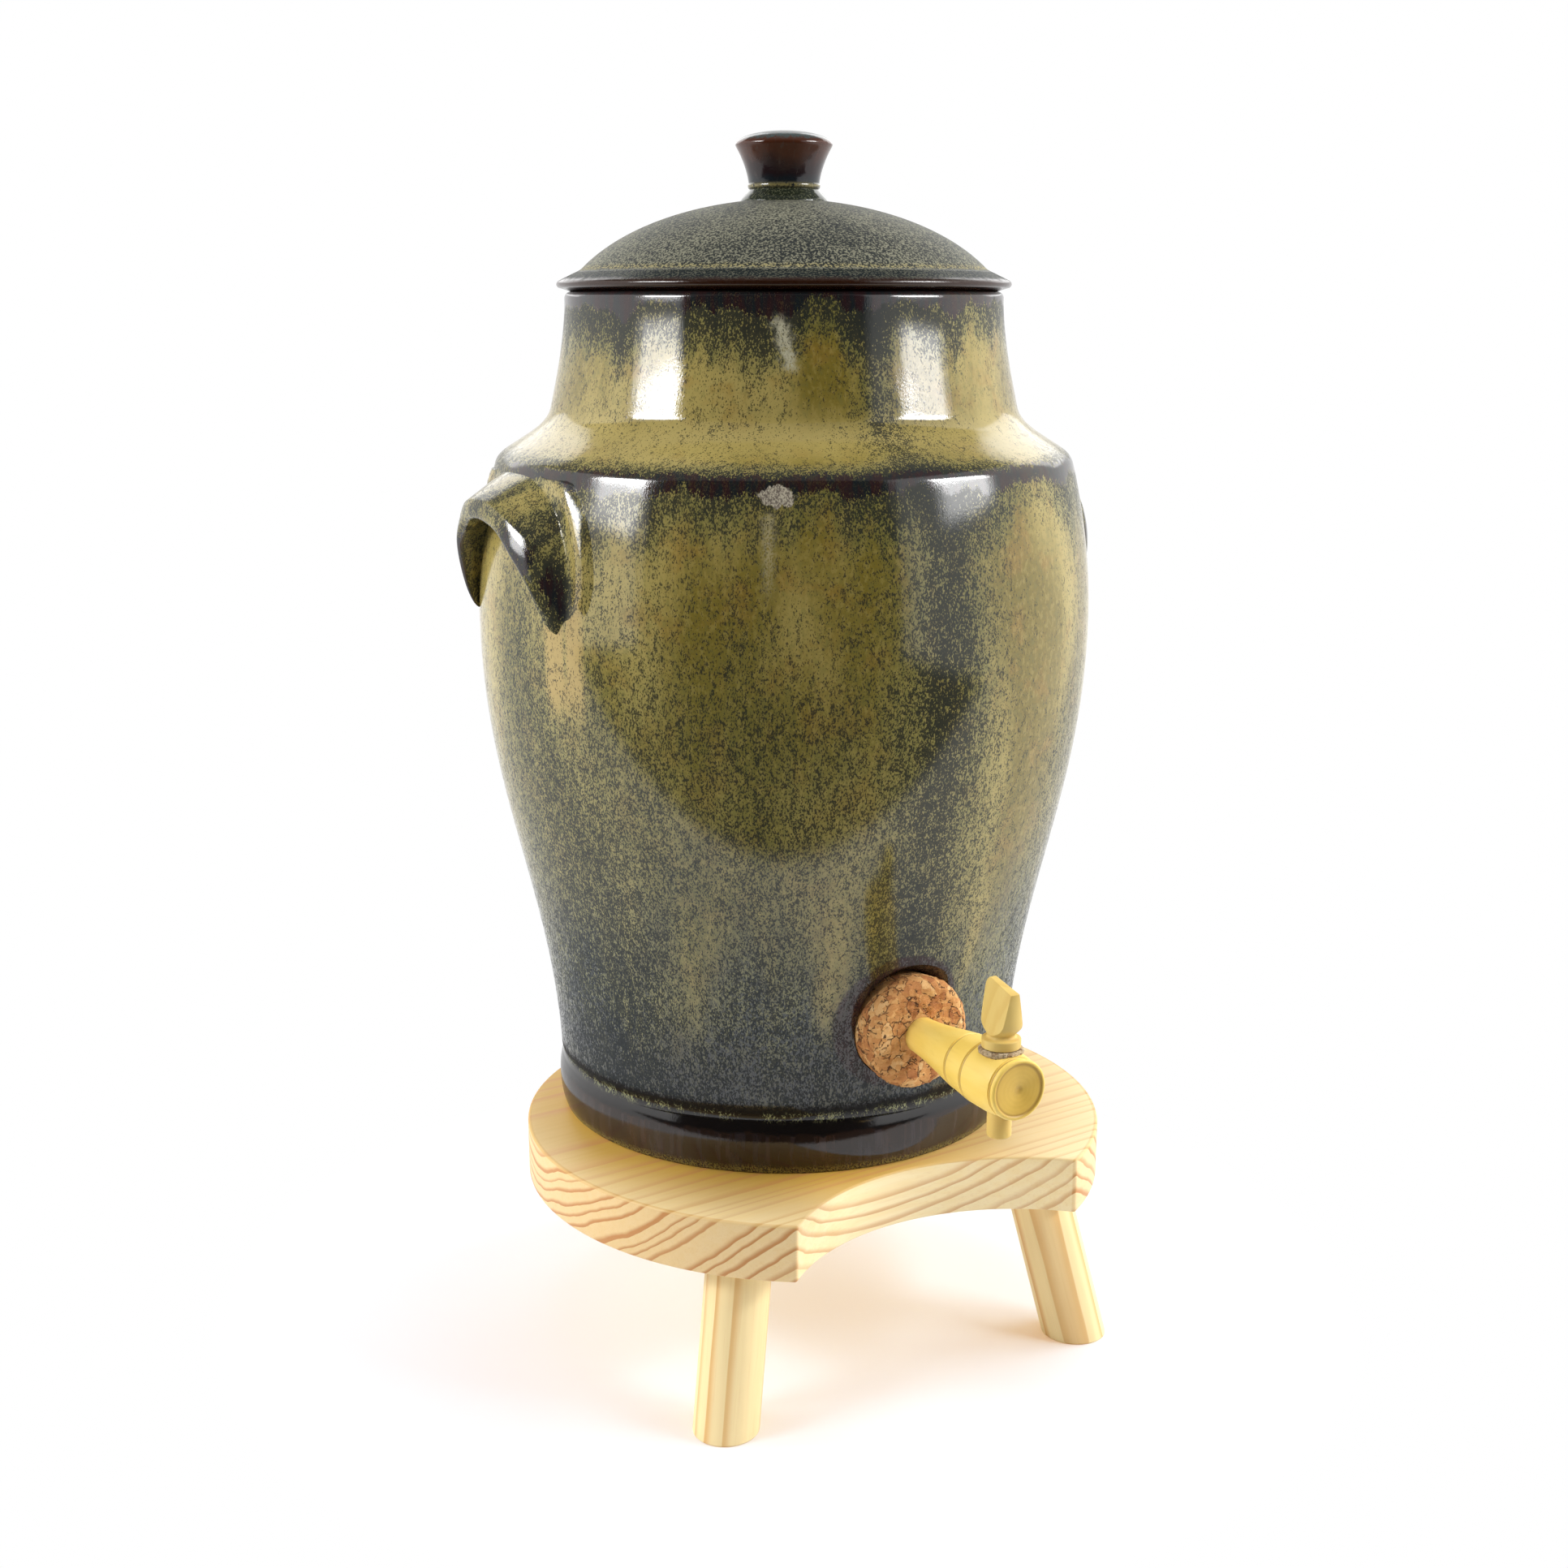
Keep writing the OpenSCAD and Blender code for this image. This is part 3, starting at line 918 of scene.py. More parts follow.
    def _ground(self, f: GlazeField, low: Value, cover: Value, ripe: Value) -> Value:
        """Mix the glaze's colour between the flecks.

        Args:
            f: The glaze's fields.
            low: A mask of the crock's low part.
            cover: The share of flecks.
            ripe: A mask of the honey-coloured runs.

        Returns:
            The colour.
        """
        g = f.g
        ground = g.mix(g.rise(f.clouds + f.sway * 0.12, 0.38, 0.62), self.olive, self.ochre)
        patches = g.noise(f.place, 11.0, 3.0, 0.6)
        ground = g.mix(g.rise(patches, 0.50, 0.68) * 0.42 * (1.0 - low), ground, self.amber)
        ground = g.mix(g.rise(cover, 0.24, 0.55) * 0.55, ground, self.green)
        mottle = g.drawn(f.place, 0.55, 1.5, 3.0, 0.65)
        ground = g.mix(g.rise(mottle, 0.46, 0.66) * 0.30, ground, self.ochre)
        ground = g.mix(g.fall(mottle, 0.34, 0.50) * 0.30, ground, self.green)
        ground = g.mix(g.bell(f.up, self.shoulder_up, 6.5) * 0.75, ground, self.ochre)
        ground = g.mix(ripe, ground, self.honey)
        specks = g.drawn(f.place, 0.65, 0.85, 2.5, 0.6)
        pale = g.mix(g.rise(specks + (patches - 0.5) * 0.5, 0.43, 0.57), self.moss, self.teal)
        ground = g.mix(low * (0.96 - g.rise(f.runs, 0.54, 0.70) * 0.45), ground, pale)
        sunk = g.fall(f.up + f.sway * 12.0 + (f.drift - 0.5) * 16.0, *self.sunk_end)
        return g.mix(sunk * 0.72, ground, self.slate)

    def _cover(self, f: GlazeField, low: Value) -> tuple[Value, Value, Value]:
        """Say where the dark flecks lie.

        Args:
            f: The glaze's fields.
            low: A mask of the crock's low part.

        Returns:
            The share of flecks, the solid dark bands and the honey-coloured runs.
        """
        g = f.g
        fringe = g.rise(f.up + f.sway * 13.0, *self.fringe_span) * g.fall(f.up, *self.fringe_end)
        crown = g.rise(f.up + f.sway * 12.0, *self.crown_span)
        lean = g.rise(f.up, *self.lean_span)
        over_tap = g.bell((f.turn + lean * 0.12) * (1.0 + lean * 0.8), 0.0, math.radians(8.5))
        over_tap = over_tap * g.rise(f.up, *self.over_tap_span)
        over_tap = over_tap * (1.0 + g.bell(f.up, self.over_tap_up, 30.0) * 0.5)
        green_side = g.bell(f.turn, self.left_side, math.radians(20.0)) * g.fall(f.up, *self.left_end)
        bright = g.bell(f.turn, self.bright_side, math.radians(8.0))
        bright = bright + g.bell(f.turn, self.bright_high, 0.2) * g.rise(f.up, *self.bright_span) * 0.5
        heart = g.bell(f.turn, self.heart_side, math.radians(22.0)) * g.bell(f.up, self.heart_up, 42.0)
        middle = g.fall(f.up, *self.middle_end)
        cover = 0.27 + (f.clouds - 0.5) * -0.24 + f.sway * 0.14 + middle * 0.13 + low * 0.16
        cover = cover + fringe * 0.36 + crown * 0.50 + over_tap * 0.28 + green_side * 0.17 - bright * 0.16
        cover = cover + heart * 0.07
        ripe = self._drips(f)
        band = g.rise(f.up + f.sway * 8.0, *self.ridge_span)
        band = band * g.fall(f.up + (f.drift - 0.5) * 5.0 + f.sway * 2.5, *self.ridge_end)
        # The dark ridge band fades on the far left: a painted highlight of the back lamp.
        band = band * (1.0 - g.bell(f.turn, self.highlight_side, math.radians(20.0)) * 0.9) * 0.82
        band = g.clamped(band + g.rise(f.up + f.sway * 9.0, *self.rim_span) * 0.82)
        return g.clamped(cover - ripe * 0.20), band, ripe

    def _drips(self, f: GlazeField) -> Value:
        """Give the honey-coloured runs below the four ends of the handles.

        Args:
            f: The glaze's fields.

        Returns:
            A mask of the runs.
        """
        g = f.g
        off = g.math("ARCTAN2", abs(f.y), abs(f.x))
        band = g.fall(abs(off - self.handle_tip + f.sway * 0.02), math.radians(3.2), math.radians(5.6))
        reach = g.rise(f.up + f.sway * 14.0, *self.drip_span) * g.fall(f.up, *self.drip_end)
        trickle = g.bell(off - self.handle_tip - 0.008, 0.0, 0.009) * g.rise(f.up, *self.trickle_span)
        return g.clamped(band * reach * (1.0 - trickle * 0.8)) * 0.9

    def _trimmed(self, f: GlazeField, colour: Value) -> Value:
        """Add the crock's flaws, its foot and the dark ring round the cork, which is partly painted shade."""
        return self._bung_shade_ring(f, self._foot(f, self._flaws(f, colour)))

    def _flaws(self, f: GlazeField, colour: Value) -> Value:
        """Add the bare spot under the ridge and the pale run on the neck, on the side that is seen.

        Args:
            f: The glaze's fields.
            colour: The glaze so far.

        Returns:
            The glaze with its flaws.
        """
        g = f.g
        across = (f.turn - self.places.view_side) * self.ridge_r
        ragged = (g.noise(f.place, 2.6, 3.0, 0.65) - 0.5) * 9.0
        spot_x = (across + 2.0 + ragged * 0.8) / 5.3
        spot_z = (f.up - self.spot_up - ragged * 0.5) / 3.2
        spot = g.fall(spot_x * spot_x + spot_z * spot_z, 0.75, 1.05)
        trail = g.bell(across + 4.2 + ragged * 0.3, 0.0, 1.7) * g.rise(f.up, *self.trail_span)
        trail = trail * g.fall(f.up, *self.trail_end)
        bend = across * 0.78 - 0.5 + (f.up - self.run_up) * 0.26
        run = g.bell(bend + ragged * 0.8, 0.0, 2.0)
        run = run * g.rise(f.up, *self.run_span) * g.fall(f.up, *self.run_end)
        colour = g.mix(run * g.rise(f.grain, 0.30, 0.50) * 0.95, colour, self.cream)
        colour = g.mix(trail * g.rise(f.grain, 0.3, 0.6) * 0.70, colour, self.sand)
        bare = g.mix(g.rise(f.grain + ragged * 0.02, 0.40, 0.62), self.clay, self.bisque)
        return g.mix(spot, colour, bare)

    def _foot(self, f: GlazeField, colour: Value) -> Value:
        """Add the brown foot, the black band in the groove and the broken straw line over it.

        Args:
            f: The glaze's fields.
            colour: The glaze so far.

        Returns:
            The glaze with its foot.
        """
        g = f.g
        brown = g.mix(g.rise(f.runs + (f.streaks - 0.5) * 0.6, 0.46, 0.70), self.umber, self.rust)
        brown = g.mix(g.rise(f.streaks, 0.50, 0.66) * 0.45, brown, self.bloom)
        colour = g.mix(g.fall(f.up + f.sway * 0.6, *self.foot_end), colour, brown)
        jag = (f.streaks - 0.5) * 3.0 + f.sway * 2.0
        ragged = f.up + (f.grain - 0.5) * 2.0 + f.sway * 1.6
        black = g.rise(f.up + jag, *self.black_span) * g.fall(ragged, *self.black_end)
        colour = g.mix(black * 0.95, colour, self.black)
        broken = g.rise(f.flecks + f.sway * 0.25, 0.51, 0.56) * g.rise(f.drift, 0.42, 0.52)
        colour = g.mix(g.bell(ragged, self.straw_up, 1.2) * broken * 0.9, colour, self.straw)
        hem = g.fall(f.up + (f.grain - 0.5) * 2.4 + f.sway, *self.hem_end) * g.rise(f.flecks, 0.44, 0.54)
        return g.mix(hem * 0.8, colour, self.hem)

    def _bung_shade_ring(self, f: GlazeField, colour: Value) -> Value:
        """Darken round the cork's hole: partly glaze that drew back, partly a painted shadow and reflection
        of the cork.

        Args:
            f: The glaze's fields.
            colour: The glaze so far.

        Returns:
            The glaze with its ring.
        """
        g = f.g
        # The ring sits up and to the left of the cork, where the painted shadow and reflection fall.
        side = f.x - self.ring_shift[0]
        lift = f.z - self.places.tap_z - self.ring_shift[1]
        off = g.away(side, lift) + (f.grain - 0.5) * 2.5 + f.sway * 1.5
        front = g.fall(f.y, *self.front_end)
        ring_shade = g.mix(g.rise(f.streaks, 0.4, 0.6), self.umber, self.plum)
        return g.mix(g.fall(off, *self.ring_end) * front * 0.94, colour, ring_shade)


@dataclass(frozen=True)
class HandleGlaze(CrockGlaze):
    """The crock's glaze on a handle: dark along the lip and in the trough, honey on the ridge."""

    name: str = "handle_glaze"

    def _cover(self, f: GlazeField, low: Value) -> tuple[Value, Value, Value]:
        """Say where the dark flecks lie, by the marks on the handle.

        Args:
            f: The glaze's fields.
            low: A mask of the crock's low part.

        Returns:
            The share of flecks, the solid dark bands and the honey-coloured runs.
        """
        g = f.g
        lip = g.attribute("lip")
        wall = g.attribute("wall")
        patches = g.noise(f.place, 13.0)
        wall_cover, wall_band, wall_ripe = super()._cover(f, low)
        trough = g.attribute("trough")
        cover = g.clamped(0.32 + lip * 0.24 + g.rise(patches, 0.48, 0.60) * 0.20 + trough * 0.16)
        band = g.clamped(lip * (0.16 + g.rise(patches, 0.40, 0.56) * 0.32) + trough * 0.04)
        ripe = g.attribute("ridge") * (0.80 - g.rise(f.up + f.sway * 6.0, *self.handle_honey_end) * 0.72)
        pairs = ((cover, wall_cover), (band, wall_band), (ripe, wall_ripe))
        return tuple(g.blend(wall, own, walls) for own, walls in pairs)

    def _dull(self, f: GlazeField, dark: Value) -> Value:
        """Say where the handle is dull: a little on the flecks, more in the trough."""
        return dark * 0.42 + f.g.attribute("trough") * 0.75

    def _trimmed(self, f: GlazeField, colour: Value) -> Value:
        """Leave the handle's glaze as it is."""
        return colour


@dataclass(frozen=True)
class LidGlaze:
    """Satin dark glaze with a fine even speckle, a straw line and a brown edge."""

    places: Places
    slate: Colour = (0.013, 0.016, 0.015)
    moss: Colour = (0.225, 0.220, 0.152)
    brown: Colour = (0.024, 0.007, 0.002)
    straw: Colour = (0.33, 0.28, 0.11)
    shadow: Colour = (0.005, 0.009, 0.010)
    satin: float = 0.58
    glass_index: float = 1.52
    line_r: float = 63.9
    step_span: Span = (64.8, 66.2)
    edge_end: Span = (2.6, 4.2)

    def material(self) -> bpy.types.Material:
        """Build the glaze.

        Returns:
            The material.
        """
        g = MaterialGraph("lid_glaze")
        place = g.place()
        x, y, z = g.axes(place)
        up = z - self.places.foot_z - self.places.rim_h
        back = y - self.places.axis_y
        off = g.away(x, back)
        speckle = g.noise(place, 0.66, 2.5, 0.62)
        clouds = g.noise(place, 24.0)
        grain = g.noise(place, 2.6, 2.0, 0.6)
        light = g.rise(speckle + (clouds - 0.5) * 0.14 + (grain - 0.5) * 0.12, 0.47, 0.57)
        colour = g.mix(light * 0.92, self.slate, self.moss)
        near = g.bell(off + (grain - 0.5) * 2.0, self.line_r, 0.8) * g.rise(speckle, 0.47, 0.56)
        colour = g.mix(near * 0.85, colour, self.straw)
        shade = g.rise(off + (grain - 0.5) * 1.2, *self.step_span)
        colour = g.mix(shade * (0.97 - light * 0.30), colour, self.shadow)
        edge = g.fall(up + (grain - 0.5) * 1.6, *self.edge_end)
        colour = g.mix(edge * 0.95, colour, self.brown)
        skin = g.bump(speckle, 0.06, 0.5)
        skin = g.bump(clouds, 0.5, 0.3, skin)
        rough = self.satin + light * 0.08 - shade * 0.44
        g.finished(Base_Color=colour, Roughness=rough, Normal=skin, IOR=self.glass_index)
        return g.dulled(shade * (1.0 - edge) * 0.85, colour)


@dataclass(frozen=True)
class KnobGlaze:
    """Glossy red-brown glaze with a painted teal sheen on the top, straw on the bead and olive at the foot.
    """

    places: Places
    base_h: float
    chestnut: Colour = (0.060, 0.018, 0.008)
    plum: Colour = (0.016, 0.008, 0.009)
    teal: Colour = (0.030, 0.070, 0.072)
    straw: Colour = (0.21, 0.175, 0.065)
    olive: Colour = (0.014, 0.019, 0.010)
    lichen: Colour = (0.075, 0.080, 0.045)
    night: Colour = (0.008, 0.014, 0.018)
    ash: Colour = (0.060, 0.055, 0.050)
    glass_index: float = 1.55
    foot_end: Span = (1.0, 1.7)
    bead_up: float = 2.1
    waist_end: Span = (3.6, 6.2)
    flank_span: Span = (6.5, 13.0)
    crown_span: Span = (15.2, 16.6)

    def material(self) -> bpy.types.Material:
        """Build the glaze.

        Returns:
            The material.
        """
        g = MaterialGraph("knob_glaze")
        place = g.place()
        up = g.axes(place)[2] - self.places.foot_z - self.base_h
        speckle = g.noise(place, 0.7, 3.0, 0.6)
        clouds = g.noise(place, 6.0)
        runs = g.drawn(place, 0.2, 1.6)
        wander = up + (runs - 0.5) * 3.0
        colour = g.mix(g.rise(wander + (clouds - 0.5) * 6.0, *self.flank_span), self.plum, self.chestnut)
        colour = g.mix(g.fall(wander, *self.waist_end) * 0.8, colour, self.night)
        colour = g.mix(g.rise(runs, 0.60, 0.72) * 0.30, colour, self.ash)
        # Painted sheen: the top is tinted teal like a reflection of the sky.
        crown = g.rise(up + (runs - 0.5) * 1.6, *self.crown_span) * g.rise(speckle, 0.36, 0.52)
        colour = g.mix(crown * 0.85, colour, self.teal)
        foot = g.fall(up, *self.foot_end)
        colour = g.mix(foot, colour, g.mix(g.rise(speckle, 0.50, 0.62), self.olive, self.lichen))
        bead = g.bell(up + (speckle - 0.5) * 0.9, self.bead_up, 0.62) * g.rise(speckle, 0.36, 0.50)
        colour = g.mix(bead * 0.9, colour, self.straw)
        skin = g.bump(speckle, 0.04, 0.4)
        skin = g.bump(clouds, 0.35, 0.4, skin)
        rough = 0.09 + speckle * 0.08
        return g.finished(Base_Color=colour, Roughness=rough, Normal=skin, IOR=self.glass_index)


@dataclass(frozen=True)
class Cork:
    """Bare cork pressed from torn flakes of mixed tones, with dark cracks and pits."""

    name: str = "cork"
    flake: float = 4.6
    pale: Colour = (0.82, 0.54, 0.255)
    light: Colour = (0.71, 0.385, 0.135)
    middle: Colour = (0.58, 0.255, 0.076)
    deep: Colour = (0.41, 0.150, 0.043)
    crack: Colour = (0.085, 0.032, 0.012)

    def material(self) -> bpy.types.Material:
        """Build the cork.

        Returns:
            The material.
        """
        g = MaterialGraph(self.name)
        place = g.place()
        wander = g.noise(place, self.flake * 0.5, 2.0, 0.6)
        bent = g.shifted(place, wander.other("Color"), self.flake * 0.32)
        torn = g.stretched(bent, (1.2, 1.0, 0.85))
        tone = g.axes(g.cells(torn, self.flake, "F1", "Color"))[0]
        small = g.stretched(bent, (0.7, 1.0, 1.3))
        chips = g.axes(g.cells(small, self.flake * 0.36, "F1", "Color"))[1]
        edge = g.cells(torn, self.flake, "DISTANCE_TO_EDGE", "Distance")
        nick = g.cells(small, self.flake * 0.36, "DISTANCE_TO_EDGE", "Distance")
        fine = g.noise(g.stretched(bent, (0.5, 1.0, 1.3)), 0.40, 3.0, 0.65)
        torn_here = g.noise(place, self.flake * 0.55, 2.0, 0.6)
        mixed = g.clamped(tone * 0.62 + chips * 0.34 + (fine - 0.5) * 0.36 + 0.02)
        colour = g.ramp(mixed, (0.12, self.deep), (0.36, self.middle), (0.64, self.light), (0.92, self.pale))
        seam = g.fall(edge + (fine - 0.5) * 0.08, 0.0, 0.05) * g.rise(wander, 0.46, 0.54)
        notch = g.fall(nick + (fine - 0.5) * 0.12, 0.02, 0.10) * g.rise(torn_here, 0.56, 0.62)
        dark = g.clamped(seam * 0.8 + notch * 0.95)
        colour = g.mix(dark, colour, self.crack)
        skin = g.bump(mixed - dark, 0.6, 0.8)
        skin = g.bump(fine, 0.2, 0.5, skin)
        return g.finished(Base_Color=colour, Roughness=0.84 - fine * 0.1, Normal=skin)


@dataclass(frozen=True)
class TapWood:
    """Fine yellow hardwood, turned and waxed, with burnt lines in its grooves."""

    places: Places
    groove_ys: tuple[float, ...]
    face_r: float
    yellow: Colour = (0.88, 0.61, 0.125)
    pale: Colour = (0.93, 0.68, 0.180)
    tan: Colour = (0.585, 0.350, 0.046)
    burnt: Colour = (0.26, 0.115, 0.022)
    wax_index: float = 1.48

    def material(self) -> bpy.types.Material:
        """Build the wood.

        Returns:
            The material.
        """
        g = MaterialGraph("tap_wood")
        place = g.place()
        x, y, z = g.axes(place)
        lift = z - self.places.tap_z
        off = g.away(x, lift)
        fibre = g.noise(g.stretched(place, (1.0, 0.05, 1.0)), 0.9, 3.0, 0.6)
        bands = g.noise(g.stretched(place, (1.0, 0.25, 1.0)), 7.0, 2.0, 0.5)
        colour = g.mix(g.rise(bands, 0.35, 0.7), self.yellow, self.pale)
        colour = g.mix(g.rise(fibre, 0.54, 0.76) * 0.16, colour, self.tan)
        wear = g.rise(g.noise(place, 1.3, 3.0, 0.7), 0.71, 0.75)
        colour = g.mix(wear * 0.4, colour, self.burnt)
        for groove_y in self.groove_ys:
            line = g.bell(y + (fibre - 0.5) * 0.12, groove_y, 0.30)
            colour = g.mix(line * 0.8, colour, self.burnt)
        face = g.fall(y, self.places.end_y + 0.65, self.places.end_y + 0.95)
        rings = g.math("SINE", off * 4.6 + (bands - 0.5) * 3.0) * 0.5 + 0.5
        end = g.mix(rings * 0.06 + bands * 0.6, self.tan, self.yellow)
        stain_and_shade = g.noise(place, 2.2, 3.0, 0.6)
        end = g.mix(g.bell(off + (stain_and_shade - 0.5) * 3.0, 0.4, 1.2) * 0.35, end, self.burnt)
        end = g.mix(g.bell(off, self.face_r, 0.4) * 0.5, end, self.burnt)
        colour = g.mix(face * g.fall(off, self.face_r + 0.2, self.face_r + 1.4), colour, end)
        skin = g.bump(fibre, 0.05, 0.25)
        skin = g.bump(rings * face, 0.02, 0.3, skin)
        return g.finished(Base_Color=colour, Roughness=0.34 + fibre * 0.16, Normal=skin, IOR=self.wax_index)


@dataclass(frozen=True)
class KeyWood:
    """Pale fine hardwood, cut with a knife and waxed."""

    places: Places
    pale: Colour = (0.71, 0.505, 0.146)
    amber: Colour = (0.62, 0.385, 0.080)
    brown: Colour = (0.28, 0.14, 0.04)
    ring: float = 4.6
    wax_index: float = 1.48

    def material(self) -> bpy.types.Material:
        """Build the wood.

        Returns:
            The material.
        """
        g = MaterialGraph("key_wood")
        place = g.place()
        pith = (9.0, self.places.key_y + 14.0, self.places.tap_z)
        x, y, _ = g.axes(g.local(place, pith, (0.12, -0.1, 0.0)))
        wander = g.drawn(place, 0.3, 7.0)
        fibre = g.drawn(place, 0.07, 0.8, 3.0, 0.6)
        off = g.away(x, y) + (wander - 0.5) * 6.0
        ring = g.math("FRACT", off / self.ring)
        late = g.rise(ring, 0.30, 0.85) * g.fall(ring, 0.88, 1.0)
        colour = g.mix(late * 0.45, self.pale, self.amber)
        colour = g.mix(g.rise(fibre, 0.5, 0.75) * 0.14, colour, self.amber)
        marks = g.rise(g.noise(place, 1.2, 3.0, 0.7), 0.72, 0.76)
        colour = g.mix(marks * 0.5, colour, self.brown)
        skin = g.bump(fibre, 0.06, 0.3)
        return g.finished(Base_Color=colour, Roughness=0.42 + fibre * 0.14, Normal=skin, IOR=self.wax_index)


@dataclass(frozen=True)
class Pine:
    """Pale varnished pine, whose growth rings run through the piece round a pith outside it."""

    name: str
    origin: Spot
    turn: Spot
    pith: Point
    ring: float = 3.9
    top: float = 1000.0
    shade_r: float = 0.0
    shade_y: float = 0.0
    rim_r: float = 1000.0
    rim_y: float = 0.0
    early: Colour = (0.91, 0.755, 0.455)
    warm: Colour = (0.88, 0.685, 0.350)
    late: Colour = (0.56, 0.255, 0.082)
    amber: Colour = (0.585, 0.345, 0.062)
    end: Colour = (0.74, 0.47, 0.185)
    varnish_index: float = 1.45

    def material(self) -> bpy.types.Material:
        """Build the wood; its fibres run along the local Z axis.

        Returns:
            The material.
        """
        g = MaterialGraph(self.name)
        world = g.place()
        place = g.local(world, self.origin, self.turn)
        x, y, _ = g.axes(place)
        slow = g.stretched(place, (1.0, 1.0, 0.12))
        wander = g.noise(slow, 34.0)
        ripple = g.noise(slow, 7.0)
        dx = x - self.pith[0]
        dy = y - self.pith[1]
        off = g.away(dx, dy) + (wander - 0.5) * 7.0 + (ripple - 0.5) * 1.4
        single = {"noise_dimensions": "1D"}
        pace = g.node("ShaderNodeTexNoise", single, {"W": off, "Scale": 0.07, "Detail": 1.0})
        age = off / self.ring + (pace - 0.5) * 2.4
        ring = g.math("FRACT", age)
        year = g.node("ShaderNodeTexWhiteNoise", single, {"W": g.math("FLOOR", age)})
        late = g.rise(ring, 0.52, 0.94) * g.fall(ring, 0.95, 1.0)
        fibre = g.drawn(place, 0.03, 0.55, 3.0, 0.6)
        strands = g.drawn(place, 0.02, 2.4)
        wx, wy, wz = g.axes(world)
        level = g.rise(wz, self.top - 0.9, self.top - 0.4)
        colour = g.mix(g.rise(strands, 0.35, 0.7) * 0.6, self.early, self.warm)
        side = wy - self.rim_y
        rim = g.rise(g.away(wx, side), self.rim_r - 1.4, self.rim_r - 0.8)
        ends = rim * (0.25 + g.rise(abs(wx), 0.0, self.rim_r) * 0.75)
        colour = g.mix(ends * 0.62, colour, self.end)
        shown = g.blend(level, 1.0, 0.60) * (0.80 + ends * 0.8)
        lines = g.mix(level * 0.65, self.late, self.amber)
        colour = g.mix(late * (0.50 + year * 0.50) * shown, colour, lines)
        colour = g.mix(g.rise(fibre, 0.50, 0.74) * 0.12, colour, self.late)
        # Painted shade and warm bounce from the crock on the seat's top round the crock's foot, deepest on
        # the left, over a faint amber tint of the whole top.
        back = wy - self.shade_y
        reach = g.away(wx, back) + (strands - 0.5) * 10.0
        depth = 0.92 - g.rise(wx, -30.0, 50.0) * 0.34
        stain_and_shade = level * (0.10 + g.fall(reach, self.shade_r - 2.0, self.shade_r + 44.0) * depth)
        colour = g.mix(stain_and_shade, colour, g.mix(late * 0.7, self.amber, self.late))
        skin = g.bump(fibre + late * 0.4, 0.05, 0.3)
        rough = 0.38 + fibre * 0.12
        return g.finished(Base_Color=colour, Roughness=rough, Normal=skin, IOR=self.varnish_index)


